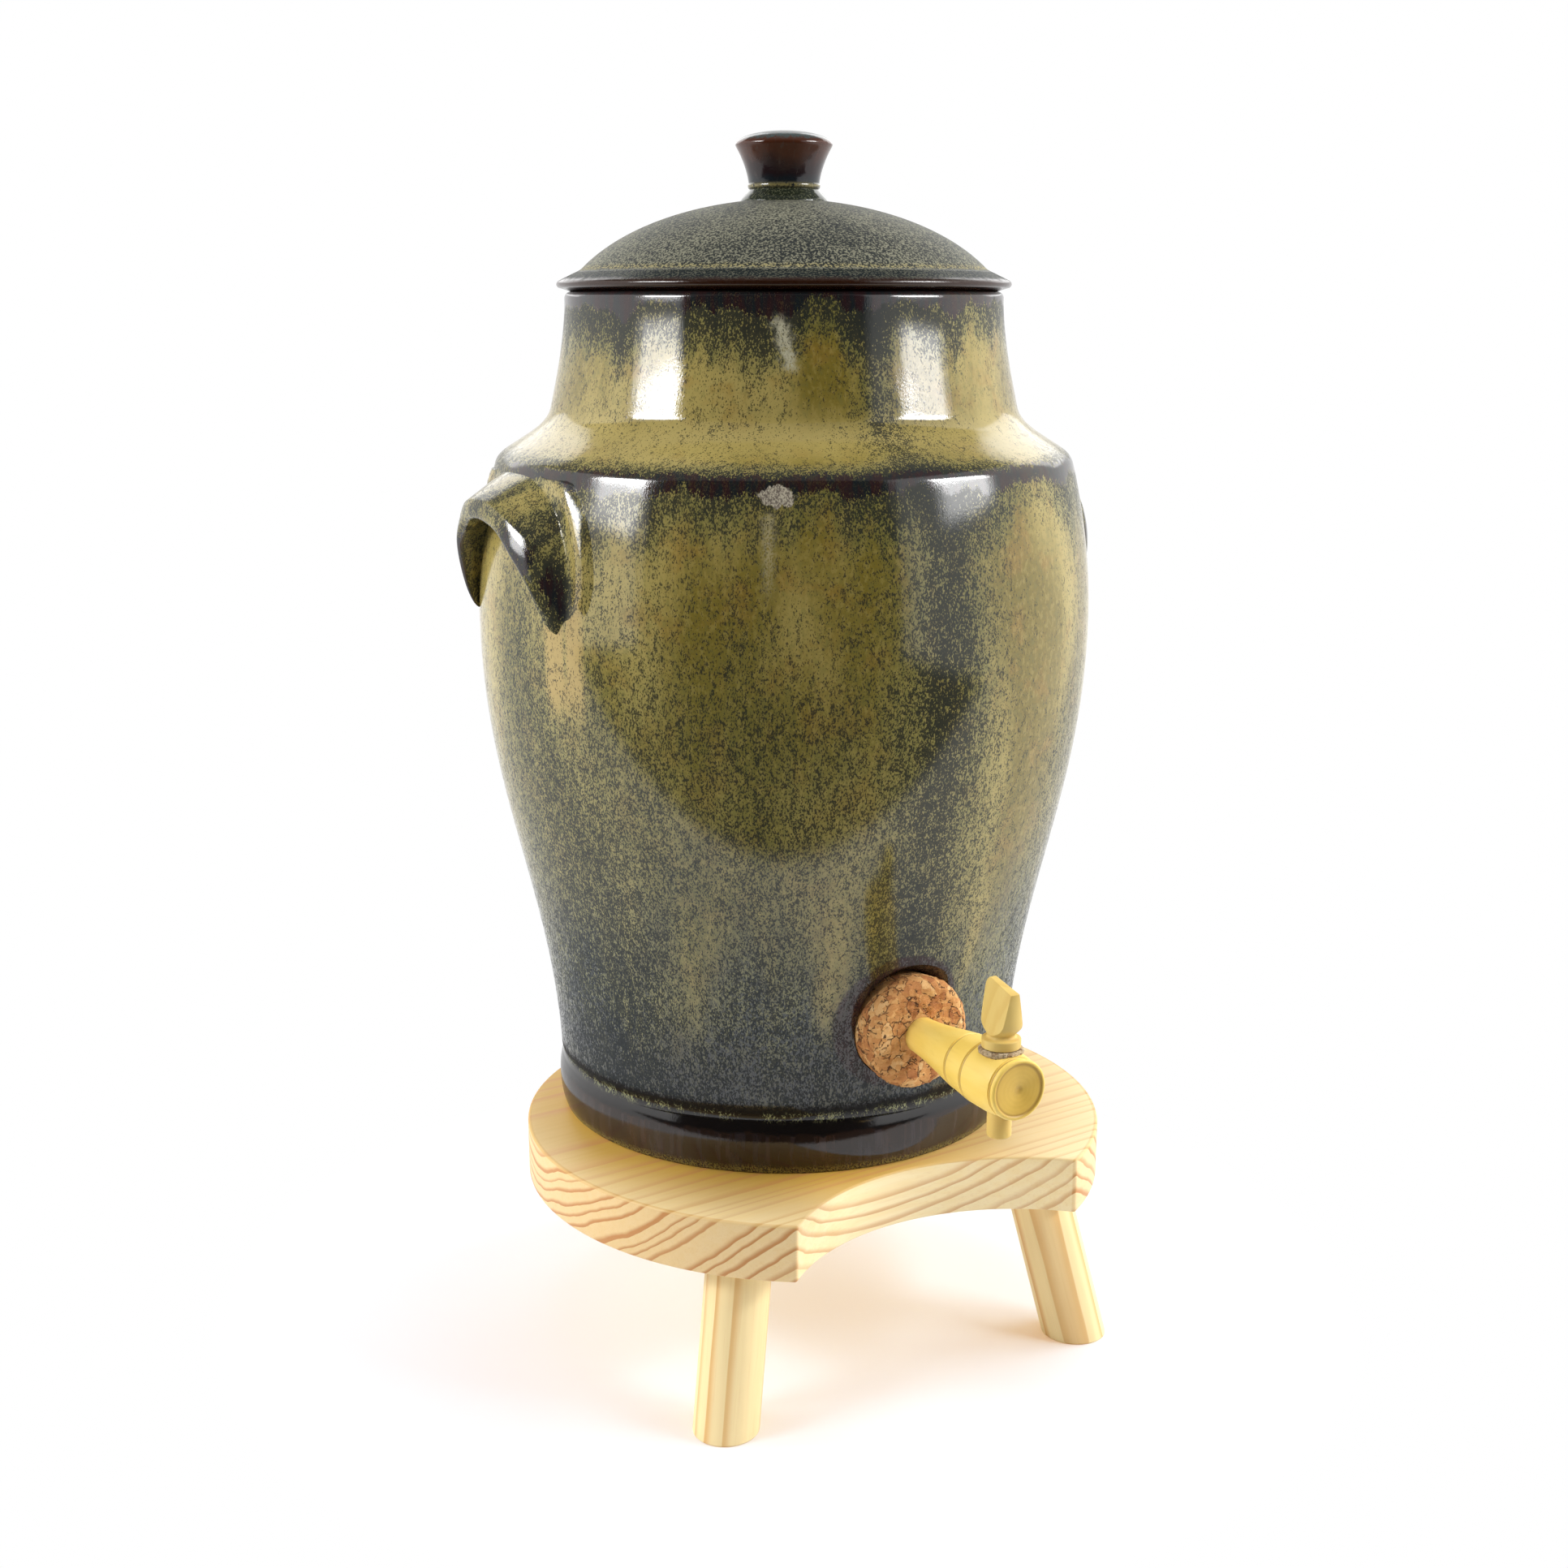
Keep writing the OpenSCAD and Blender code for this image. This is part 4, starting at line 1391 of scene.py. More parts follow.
@dataclass
class Crock:
    """The thrown pot with its hole for the cork, and the two pulled handles."""

    places: Places
    foot_tuck: float = 0.6
    foot_swell: float = 1.4
    foot_edge: float = 0.8
    groove_h: float = 18.0
    groove_w: float = 4.0
    groove_depth: float = 0.5
    belly: Point = (99.0, 166.0)
    ridge: Point = (92.6, 214.4)
    shoulder: Point = (88.4, 219.4)
    neck: Point = (74.5, 232.0)
    rim_r: float = 69.4
    rim_round: float = 2.0
    waist_lean: float = 0.055
    ridge_lean: float = -0.26
    shoulder_lean: float = -1.5
    neck_lean: float = -0.22
    wall: float = 7.0
    bottom_t: float = 9.0
    inner_drop: float = 3.0
    corner_ease: float = 3.0
    corner_reach: float = 11.0
    cork_proud: float = 9.0
    cork_gap: float = 0.05
    hole_ease: float = 1.6
    hole_flare: float = 2.2
    sides: int = 224
    hole_sides: int = 128

    def build(self) -> None:
        """Build and dress the pot and its handles."""
        finish = CrockGlaze(self.places).material()
        pot = made_object(self._pot(), "crock_body_glazed", crease=32)
        fitted(pot, "crock_body", Body.CROCK, finish)
        handle_finish = HandleGlaze(self.places).material()
        side = self._side(Outline(self.places.foot_r, self.groove_h + self.groove_w / 2), 0.0, 0.0, 4)
        for hand in Side:
            name = f"{hand.name.lower()}_handle"
            lug = made_object(Handle(self.places, side.points).form(hand), f"{name}_glazed", crease=50)
            fitted(lug, name, Body.CROCK, handle_finish)

    def _side(self, outline: Outline, inset: float, drop: float, fine: int) -> Outline:
        """Add the pot's side, from the waist to the rim's rounding.

        Args:
            outline: An outline that stands at the waist.
            inset: How far the stretch lies inside the outer face.
            drop: How far the shoulder is lowered.
            fine: How finely the stretches are cut.

        Returns:
            The outline.
        """
        rim = (self.rim_r, self.places.rim_h - self.rim_round)
        stretches = (
            (self.belly, 0.0, 0.0, (0.3854, 0.3953), 12),
            (self.ridge, drop, self.ridge_lean, (0.4, 0.22), 5),
            (self.shoulder, drop, self.shoulder_lean, (0.5, 0.26), 4),
            (self.neck, drop, self.neck_lean, (0.35, 0.44), 5),
            (rim, 0.0, 0.0, (0.25, 0.35), 4),
        )
        lean = self.waist_lean
        for (radius, height), sunk, end_lean, reaches, steps in stretches:
            bezier_to(outline, lean, (radius - inset, height - sunk), end_lean, reaches, steps * fine)
            lean = end_lean
        return outline

    def _pot(self) -> Form:
        """Turn the pot and cut the cork's hole.

        Returns:
            The pot, in its place.
        """
        foot_r = self.places.foot_r
        waist_z = self.groove_h + self.groove_w / 2
        foot_top = (foot_r, self.groove_h - self.groove_w / 2)
        edge = foot_r - self.foot_tuck - self.foot_edge
        outline = Outline(0.0, 0.0).arc((edge, self.foot_edge), self.foot_edge, -90, 0, 4)
        start = outline.points[-1]
        outline.curve(
            (start[0] + self.foot_swell, start[1] + 0.17 * self.groove_h),
            (foot_top[0] + self.foot_swell, foot_top[1] - 0.24 * self.groove_h),
            foot_top,
            14,
        )
        deep = foot_r - self.groove_depth
        outline.curve((deep, self.groove_h - 1.2), (deep, self.groove_h + 1.2), (foot_r, waist_z), 8)
        self._side(outline, 0.0, 0.0, 4)
        rim_z = self.places.rim_h - self.rim_round
        outline.arc((self.rim_r - self.rim_round, rim_z), self.rim_round, 0, 90, 6)
        inner = Outline(foot_r - self.wall, waist_z)
        self._side(inner, self.wall, self.inner_drop, 2)
        outline.arc((self.rim_r - self.wall + self.rim_round, rim_z), self.rim_round, 90, 180, 6)
        outline.points += inner.points[::-1]
        corner, floor, ease = foot_r - self.wall, self.bottom_t, self.corner_ease
        outline.curve((corner, floor + ease), (corner - ease, floor), (corner - self.corner_reach, floor), 8)
        outline.to((0.0, floor))
        pot = moved(turned(outline, self.sides), stood(self.places.axis_y, self.places.foot_z))
        return carved(pot, self._hole())

    def _hole(self) -> Form:
        """Turn the cutter of the cork's hole, with its eased edge.

        Returns:
            The cutter, in its place.
        """
        depth = self.cork_proud + 2 * self.wall
        wide, taper = self.places.cork_r + self.cork_gap, self.places.cork_taper
        mouth = wide - taper * self.cork_proud
        outline = Outline(0.0, -depth).to((wide - taper * depth, -depth))
        outline.to((mouth, -self.cork_proud - 2 * self.hole_ease))
        outline.curve(
            (mouth, -self.cork_proud - self.hole_ease),
            (mouth + 0.5, -self.cork_proud),
            (mouth + self.hole_flare * self.hole_ease, -self.cork_proud + self.hole_ease),
            8,
        )
        outline.to((mouth + self.hole_flare * self.hole_ease, self.cork_proud), (0.0, self.cork_proud))
        return moved(turned(outline, self.hole_sides), tap_matrix(self.places))


def tap_matrix(places: Places) -> Matrix:
    """Give the tap's frame: +Z along the barrel away from the crock, 0 at the cork's front."""
    return stood(places.cork_y, places.tap_z) @ Matrix.Rotation(math.radians(90), 4, "X")


@dataclass
class Handle:
    """A lug pulled from the wall.

    A thick rolled lip arches over a finger hollow, and a trough and a ridge lie at its root.
    """

    places: Places
    wall_points: list[Vector]
    edge_half: float = 30.4
    edge_low: float = 168.0
    edge_rise: float = 32.3
    edge_square: float = 0.85
    root_handles: tuple[Point, ...] = ((0.0, 214.0), (24.0, 215.0), (38.5, 200.0), (36.3, 176.0))
    root_tip: Point = (35.2, 170.6)
    root_share: float = 0.88
    reach: float = 11.2
    lip_mid: float = 7.8
    lip_end: float = 3.6
    lip_square: float = 0.74
    lip_from: float = 37.0
    lip_sweep: float = 137.0
    lip_tilt: float = 0.38
    ridge_off: float = 5.4
    ridge_spread: float = 3.0
    ridge_fall: float = 2.7
    ridge_h: float = 1.2
    ridge_out: float = 3.8
    tip_from: float = 0.86
    tip_close: float = 0.46
    under_slope: float = 0.36
    sunk: float = 3.0
    sections: int = 80
    face_steps: int = 28
    lip_steps: int = 14
    under_steps: int = 6

    def form(self, hand: Side) -> Form:
        """Loft the handle.

        Args:
            hand: The side of the crock that it is on.

        Returns:
            The handle, in its place, with its lip, trough, ridge and wall marked.
        """
        shares = [math.sin(math.pi / 2 * (2 * i / self.sections - 1)) for i in range(self.sections + 1)]
        rings: list[list[Vector]] = []
        marks: dict[str, list[list[float]]] = {"lip": [], "trough": [], "ridge": [], "wall": []}
        for share in shares:
            edge, root, out = self._lines(share)
            way = (root - edge).normalized()
            pairs = self._section(share, (root - edge).length, out)
            rings.append([self._point(edge + way * across, rise, hand) for across, rise in pairs])
            for name, values in self._marks(share, (root - edge).length, pairs).items():
                marks[name].append(values)
        return lofted(rings, marks)

    def _wall_r(self, height: float) -> float:
        """Give the wall's radius.

        Args:
            height: The height above the foot.

        Returns:
            The radius there.
        """
        for low, high in zip(self.wall_points, self.wall_points[1:]):
            if low[1] <= height <= high[1]:
                return low[0] + (high[0] - low[0]) * (height - low[1]) / (high[1] - low[1])
        return self.wall_points[-1][0]

    def _lines(self, share: float) -> tuple[Vector, Vector, float]:
        """Give the lip's inner edge and the root at a share of the arch.

        Args:
            share: From -1 at one tip to 1 at the other.

        Returns:
            The edge and the root, along the wall and up, and how far the lip stands out.
        """
        half = math.radians(90) * abs(share)
        side = math.copysign(1.0, share)
        rise = max(0.0, math.cos(half))
        height = self.edge_low + self.edge_rise * rise**self.edge_square
        edge = Vector((side * self.edge_half * math.sin(half), height))
        ends = [Vector((*point, 0.0)) for point in self.root_handles]
        along_root = min(1.0, abs(share) / self.root_share)
        root = interpolate_bezier(*ends, 101)[round(along_root * 100)]
        past = max(0.0, (abs(share) - self.root_share) / (1.0 - self.root_share))
        root = root.to_2d().lerp(Vector(self.root_tip), past)
        root.x *= side
        tip = max(0.0, (abs(share) - self.tip_from) / (1.0 - self.tip_from))
        close = self.tip_close * (1.0 - math.sqrt(max(0.0, 1.0 - tip * tip)))
        return edge.lerp(root, close), root.lerp(edge, close), self.reach * rise**0.6 - 0.3

    def _section(self, share: float, width: float, out: float) -> list[Point]:
        """Give one ring of the handle's skin, from the wall over the lip and back under it.

        Args:
            share: From -1 at one tip to 1 at the other.
            width: How far the root is from the lip's edge.
            out: How far the lip stands out.

        Returns:
            Pairs of the place across the handle and the height over the wall.
        """
        legs = smooth(abs(share), 0.22, 0.55)
        tilt = self.lip_tilt * legs
        thick = self.lip_mid + (self.lip_end - self.lip_mid) * smooth(abs(share), 0.45, 0.97)
        thick = max(0.3, min(thick, out * 1.1 + 0.4, width * 0.6))
        half_h = thick * (0.46 - 0.10 * legs)
        far = width + 2.5 + 11.0 * legs
        start = thick * (1.0 + self._squared(math.sin(math.radians(self.lip_from)))) / 2
        crest, brink = self._ridge(share, width)
        top = max(0.1, out - 0.14 * half_h - tilt * (start - thick / 2))
        ease = tilt * (width - start) / top
        pairs = [(far + 0.5, -self.sunk)]
        for i in range(self.face_steps):
            across = far + (start - far) * i / (self.face_steps - 1)
            fall = max(0.0, (width - across) / (width - start))
            dish = smooth(fall, 0.0, 1.0) + ease * (fall**3 - fall**2)
            rise = top * (fall + (dish - fall) * legs)
            beyond = across - width - self.ridge_off
            spread = self.ridge_spread if beyond < 0 else self.ridge_fall
            ridge = crest * math.exp(-((beyond / spread) ** 2))
            rest = 0.08 - 0.5 * smooth(across, brink - 1.5, brink + 1.4)
            pairs.append((across, rise + ridge + rest))
        for i in range(1, self.lip_steps + 1):
            angle = math.radians(self.lip_from - self.lip_sweep * i / self.lip_steps)
            side, peak = self._squared(math.sin(angle)), self._squared(math.cos(angle))
            pairs.append((thick / 2 * (1 + side), out - half_h * (1 - peak) - tilt * thick / 2 * side))
        low = pairs[-1][1]
        for i in range(1, self.under_steps + 1):
            part = i / self.under_steps
            pairs.append((self.under_slope * out * part**1.3, low * (1 - part)))
        pairs.append((self.under_slope * out + 0.6, -self.sunk))
        return pairs

    def _squared(self, share: float) -> float:
        """Make the lip's round section a little square, from a sine or cosine."""
        return math.copysign(abs(share) ** self.lip_square, share)

    def _ridge(self, share: float, width: float) -> Point:
        """Give the ridge's height and the place across where the handle sinks into the wall."""
        crest = smooth(abs(share), 0.10, 0.42) * (1.0 - smooth(abs(share), 0.80, 0.98))
        return self.ridge_h * crest, width + (self.ridge_off + self.ridge_out) * crest

    def _marks(self, share: float, width: float, pairs: list[Point]) -> dict[str, list[float]]:
        """Mark a ring's points.

        Args:
            share: From -1 at one tip to 1 at the other.
            width: How far the root is from the lip's edge.
            pairs: The ring's points.

        Returns:
            How much each point belongs to the lip, the trough, the ridge and the wall.
        """
        crest, brink = self._ridge(share, width)
        legs = smooth(abs(share), 0.22, 0.5)
        reach = 7.5 + 1.5 * (1.0 - legs)
        under = len(pairs) - self.under_steps - 2
        full = 0.6 + 0.8 * legs * (1.0 - 0.5 * smooth(abs(share), 0.80, 1.0))
        lip = [full * (1.0 - smooth(across, reach * 0.6, reach * 1.4)) for across, _ in pairs]
        lip[under:] = [0.15] * (len(pairs) - under)
        trough = [legs * math.exp(-(((across - width + 1.2) / 2.6) ** 2)) for across, _ in pairs]
        spread = self.ridge_spread - 0.4
        ridge = [crest * math.exp(-(((across - width - 5.0) / spread) ** 2)) for across, _ in pairs]
        turn_in = crest / self.ridge_h
        inner, outer = brink - 1.2 - 2.4 * turn_in, brink + 0.6 - 1.8 * turn_in
        wall = [smooth(across, inner, outer) for across, _ in pairs]
        return {"lip": lip, "trough": trough, "ridge": ridge, "wall": wall}

    def _point(self, spot: Vector, rise: float, hand: Side) -> Vector:
        """Place a point that stands off the wall.

        Args:
            spot: The place along the wall and up.
            rise: How far it stands off.
            hand: The side of the crock.

        Returns:
            The point, in metres.
        """
        radius = self._wall_r(spot.y) + rise
        across = hand.value * math.sqrt(radius**2 - spot.x**2)
        return Vector((across, self.places.axis_y + spot.x, self.places.foot_z + spot.y)) * MM


@dataclass
class Lid:
    """The domed lid with its locating ring, and the turned knob."""

    places: Places
    lid_r: float = 71.8
    edge_t: float = 3.4
    edge_round: float = 1.2
    dome_r: float = 63.0
    spring_h: float = 7.0
    dome_h: float = 28.4
    knob_h: float = 30.0
    ring_r: float = 60.4
    ring_depth: float = 9.0
    ring_in: float = 54.9
    ring_ease: float = 0.8
    step_curve: tuple[Point, Point, Point] = ((63.9, 6.75), (64.6, 6.4), (65.6, 5.95))
    under_h: float = 23.8
    seat_r: float = 67.4
    knob_foot_r: float = 13.9
    knob_waist_r: float = 11.0
    knob_rim_r: float = 15.2
    knob_sunk: float = 4.0
    knob_skirt: float = 2.4
    knob_top: float = 18.8
    lid_sides: int = 192
    knob_sides: int = 128

    def build(self) -> None:
        """Build and dress the lid and the knob."""
        lid_finish = LidGlaze(self.places).material()
        lid = made_object(self._lid(), "lid_glazed", crease=34)
        fitted(lid, "lid", Body.LID, lid_finish)
        knob_finish = KnobGlaze(self.places, self.places.rim_h + self.knob_h).material()
        knob = made_object(self._knob(), "lid_knob_glazed", crease=40)
        fitted(knob, "lid_knob", Body.LID, knob_finish)

    def _lid(self) -> Form:
        """Turn the lid.

        Returns:
            The lid, in its place.
        """
        lean = math.degrees(math.atan2(self.spring_h - self.edge_t, self.lid_r - self.dome_r))
        edge = (self.lid_r - self.edge_round, self.edge_t - self.edge_round)
        outline = Outline(0.0, self.dome_h)
        rise = self.dome_h - self.spring_h
        outline.curve(
            (0.48 * self.dome_r, self.dome_h - 0.03 * rise),
            (0.83 * self.dome_r, self.spring_h + 0.53 * rise),
            (self.dome_r + 0.3, self.spring_h + 0.45),
            44,
        )
        outline.curve(*self.step_curve, 5)
        outline.arc(edge, self.edge_round, 90 - lean, -90, 10)
        low, ease = -self.ring_depth, self.ring_ease
        outline.to((self.seat_r, 0.0), (self.ring_r, 0.0), (self.ring_r, low + ease))
        outline.to((self.ring_r - ease, low), (self.ring_in + ease, low))
        outline.to((self.ring_in, low + ease), (self.ring_in, 0.0))
        outline.curve((48.9, 10.0), (28.0, self.under_h - 0.7), (0.0, self.under_h), 24)
        base = self.places.foot_z + self.places.rim_h
        return moved(turned(outline, self.lid_sides), stood(self.places.axis_y, base))

    def _knob(self) -> Form:
        """Turn the knob.

        Returns:
            The knob, in its place.
        """
        outline = Outline(0.0, -self.knob_sunk).to((self.knob_foot_r, -self.knob_sunk))
        outline.to((self.knob_foot_r, -self.knob_skirt))
        outline.curve((13.4, -1.2), (12.0, -0.2), (self.knob_waist_r - 0.1, 1.2), 10)
        outline.curve((11.5, 1.35), (11.5, 2.7), (self.knob_waist_r + 0.1, 2.9), 6)
        outline.curve((11.6, 6.6), (12.9, 10.2), (self.knob_rim_r - 0.2, 13.9), 16)
        outline.curve((self.knob_rim_r + 0.15, 14.5), (self.knob_rim_r + 0.1, 15.1), (14.7, 15.6), 6)
        outline.curve((13.3, 17.1), (8.5, self.knob_top), (0.0, self.knob_top), 14)
        base = self.places.foot_z + self.places.rim_h + self.knob_h
        return moved(turned(outline, self.knob_sides), stood(self.places.axis_y, base))


@dataclass
class Tap:
    """The cork, the turned barrel, the cork sleeve and the key that turns in it."""

    places: Places
    cork_l: float = 28.0
    cork_round: float = 3.5
    shank_r: float = 5.6
    tip_r: float = 4.6
    tip_z: float = -38.0
    flare_r: float = 8.9
    flare_z: float = 26.5
    barrel_r: float = 9.8
    second_z: float = 35.9
    bead_r: float = 9.0
    bead_z: float = 49.8
    barrel_l: float = 52.0
    groove_w: float = 1.2
    groove_d: float = 0.45
    face_r: float = 7.6
    face_recess: float = 0.4
    pad_h: float = 8.2
    pad_r: float = 5.95
    sleeve_r: float = 5.35
    sleeve_in: float = 4.25
    sleeve_low: float = -7.8
    sleeve_top: float = 10.1
    plug_r: float = 4.2
    spout_r: float = 3.6
    spout_low: float = -17.0
    bore_r: float = 2.0
    collar_r: float = 5.7
    collar_z: float = 10.3
    thumb_z: float = 13.7
    thumb_top: float = 29.9
    thumb_fall: float = 2.8
    thumb_r: float = 6.5
    thumb_waist: float = 4.2
    thumb_ease: float = 0.55
    neck_r: float = 4.0
    flat_foot: float = 4.1
    flat_head: float = 1.0
    collar_top: float = 13.15
    bore_top: float = -2.2
    plug_low: float = -7.5
    fray_r: float = 6.9
    sleeve_ease: float = 0.25
    fit_gap: float = 0.03
    cut_reach: float = 14.0
    tip_gap: float = 0.3
    cork_shown: float = 8.0
    torn: Point = (0.34, 1.7)
    pitted: Point = (0.2, 0.7)
    frayed: Point = (0.28, 0.6)
    sides: int = 96
    cut_sides: int = 64
    cork_sides: int = 176
    cork_steps: int = 40
    cork_face_steps: int = 22
    sleeve_flake: float = 1.3
    sleeve_tones: tuple[Colour, ...] = (
        (0.70, 0.57, 0.38),
        (0.62, 0.48, 0.30),
        (0.50, 0.35, 0.19),
        (0.30, 0.18, 0.09),
        (0.13, 0.06, 0.03),
    )

    def build(self) -> None:
        """Build and dress the tap's pieces."""
        grooves = tuple(self.places.cork_y - z for z in (self.flare_z, self.second_z, self.bead_z))
        wood = TapWood(self.places, grooves, self.face_r).material()
        cork = Cork().material()
        bung = made_object(self._bung(), "cork_bung_pressed", crease=60)
        fitted(bung, "cork_bung", Body.CROCK, cork)
        barrel = made_object(self._barrel(), "tap_barrel_turned", crease=38)
        fitted(barrel, "tap_barrel", Body.CROCK, wood)
        fuzz = Cork("sleeve_cork", self.sleeve_flake, *self.sleeve_tones).material()
        sleeve = made_object(self._sleeve(), "key_sleeve_cork", crease=60)
        fitted(sleeve, "key_sleeve", Body.CROCK, fuzz)
        key = made_object(self._key(), "tap_key_carved", crease=24)
        fitted(key, "tap_key", Body.KEY, KeyWood(self.places).material())

    def _bung(self) -> Form:
        """Turn the cork and chip its face.

        Returns:
            The cork, in its place.
        """
        hole = self.shank_r + self.fit_gap
        wide, taper = self.places.cork_r, self.places.cork_taper
        flat = wide - taper * self.cork_round - self.cork_round
        bottom = (self.tip_r + self.tip_gap, -self.cork_l)
        outline = Outline(*bottom).to((wide - taper * self.cork_l, -self.cork_l))
        for i in range(1, self.cork_steps + 1):
            z = -self.cork_l + (self.cork_l - self.cork_round) * i / self.cork_steps
            outline.to((wide + taper * z, z))
        outline.arc((flat, -self.cork_round), self.cork_round, 5, 90, 9)
        for i in range(1, self.cork_face_steps + 1):
            outline.to((flat - (flat - hole) * i / self.cork_face_steps, 0.0))
        outline.to(bottom)
        form = moved(turned(outline, self.cork_sides), tap_matrix(self.places))
        front = (self.places.cork_y + self.cork_shown) * MM
        inside = (hole + 0.8) * MM
        tap_z = self.places.tap_z * MM

        def shown(spot: Vector) -> float:
            """Roughen only what stands out of the wall and clear of the shank."""
            off = math.hypot(spot.x, spot.z - tap_z)
            return float(spot.y < front and off > inside)

        return roughened(roughened(form, *self.torn, shown), *self.pitted, shown)

    def _barrel(self) -> Form:
        """Turn the barrel and bore it for the sleeve and the spout.

        Returns:
            The barrel, in its place.
        """
        outline = Outline(0.0, self.tip_z).to((self.tip_r, self.tip_z), (self.shank_r, 0.0))
        flare = (self.flare_r, self.flare_z - self.groove_w / 2)
        bezier_to(outline, 0.04, flare, 0.14, (0.34, 0.3), 16)
        outline.groove(self.flare_r, self.flare_z, self.groove_w, self.groove_d)
        outline.groove(self.barrel_r, self.second_z, self.groove_w, self.groove_d)
        outline.to((self.barrel_r, self.barrel_l - 9.6))
        outline.curve((9.8, 45.0), (9.5, 47.8), (self.bead_r + 0.1, self.bead_z - self.groove_w / 2), 8)
        outline.groove(self.bead_r, self.bead_z, self.groove_w, self.groove_d)
        outline.curve((9.35, 50.9), (9.2, self.barrel_l), (8.4, self.barrel_l), 8)
        inner = self.barrel_l - self.face_recess
        outline.curve((8.0, self.barrel_l), (7.9, inner), (self.face_r, inner), 5)
        outline.to((1.1, inner), (0.6, inner - 0.25), (0.0, inner - 0.3))
        form = moved(turned(outline, self.sides), tap_matrix(self.places))
        cuts = (
            (self.pad_r, self.pad_h, self.cut_reach),
            (self.sleeve_r + self.fit_gap, self.sleeve_low, self.cut_reach),
            (self.spout_r + 0.4, -self.cut_reach, 0.0),
        )
        tools = [Outline(0.0, low).to((r, low), (r, high), (0.0, high)) for r, low, high in cuts]
        return carved(form, *(moved(turned(tool, self.cut_sides), self._key_matrix()) for tool in tools))

    def _key_matrix(self) -> Matrix:
        """Give the key's frame: its axis upright, 0 at the barrel's axis."""
        return stood(self.places.key_y, self.places.tap_z)

    def _sleeve(self) -> Form:
        """Turn the cork sleeve and fray its top.

        Returns:
            The sleeve, in its place.
        """
        top, fray = self.sleeve_top, self.fray_r
        outline = Outline(self.sleeve_in, self.sleeve_low).to((self.sleeve_r, self.sleeve_low))
        outline.to((self.sleeve_r, self.pad_h + 0.02))
        outline.curve((fray, self.pad_h + 0.1), (fray, top - 0.1), (self.sleeve_r + 0.4, top), 10)
        outline.to((self.sleeve_in + self.sleeve_ease, top), (self.sleeve_in, top - self.sleeve_ease))
        outline.to((self.sleeve_in, self.sleeve_low))
        form = moved(turned(outline, self.sides), self._key_matrix())
        level = (self.places.tap_z + self.pad_h + 0.15) * MM
        axis = Vector((0, self.places.key_y * MM))
        clear = (self.sleeve_in + 0.5) * MM

        def rim(spot: Vector) -> float:
            """Roughen only the rim that shows."""
            return float(spot.z > level and (spot.to_2d() - axis).length > clear)

        return roughened(form, *self.frayed, rim)

    def _key(self) -> Form:
        """Turn the key, and cut its thumb piece to a wedge with a slanting top.

        Returns:
            The key, in its place.
        """
        outline = Outline(self.bore_r, self.bore_top).to((self.bore_r, self.spout_low + 0.3))
        outline.to((self.bore_r + 0.3, self.spout_low), (self.spout_r - 0.35, self.spout_low))
        outline.to((self.spout_r, self.spout_low + 0.35), (self.spout_r, self.plug_low))
        outline.to((self.plug_r, self.plug_low))
        outline.to((self.plug_r, self.collar_z), (self.collar_r - 0.2, self.collar_z))
        brim, neck, top = self.collar_top, self.neck_r, self.thumb_top
        outline.to((self.collar_r, self.collar_z + 0.2), (self.collar_r, brim - 0.45))
        outline.curve((self.collar_r, brim - 0.15), (5.5, brim - 0.05), (5.0, brim), 4)
        outline.curve((neck + 0.2, brim + 0.05), (neck, brim + 0.35), (neck, self.thumb_z + 0.4), 5)
        full = (self.thumb_r, self.thumb_z + self.thumb_waist + 0.6)
        outline.curve((neck, self.thumb_z + 1.2), (self.thumb_r, self.thumb_z + 2.1), full, 10)
        outline.to((self.thumb_r, top - 3.0))
        outline.curve((self.thumb_r, top - 0.8), (5.4, top), (3.8, top + 0.3), 8)
        outline.to((0.0, top + 0.4), (0.0, self.bore_top))
        form = turned(outline, self.sides)
        self._pare(form)
        return moved(form, self._key_matrix())

    def _pare(self, form: Form) -> None:
        """Cut the key's two flats and its slanting top, and soften the edges.

        Args:
            form: The key, in its own frame.
        """
        for side in (-1, 1):
            foot = Vector((side * self.flat_foot, 0, self.thumb_z + 0.5))
            head = Vector((side * self.flat_head, 0, self.thumb_top))
            flat = Vector((side * (head.z - foot.z), 0, -side * (head.x - foot.x)))
            cut_flat(form, self._above(form, self.thumb_z - 0.1), foot, flat)
        slope = Vector((0, -self.thumb_fall, 2 * self.thumb_r))
        cut_flat(form, self._above(form, self.thumb_top - 5.0), Vector((0, 5.0, self.thumb_top)), slope)
        rims = [
            edge
            for edge in form.edges
            if edge.is_manifold
            and edge.calc_face_angle() > math.radians(24)
            and min(vert.co.z for vert in edge.verts) > (self.thumb_z + 1.0) * MM
        ]
        eased(form, rims, self.thumb_ease, clamp=True)

    @staticmethod
    def _above(form: Form, height: float) -> list[bmesh.types.BMFace]:
        """Give the faces that reach above a height, in millimetres."""
        return [face for face in form.faces if max(vert.co.z for vert in face.verts) > height * MM]


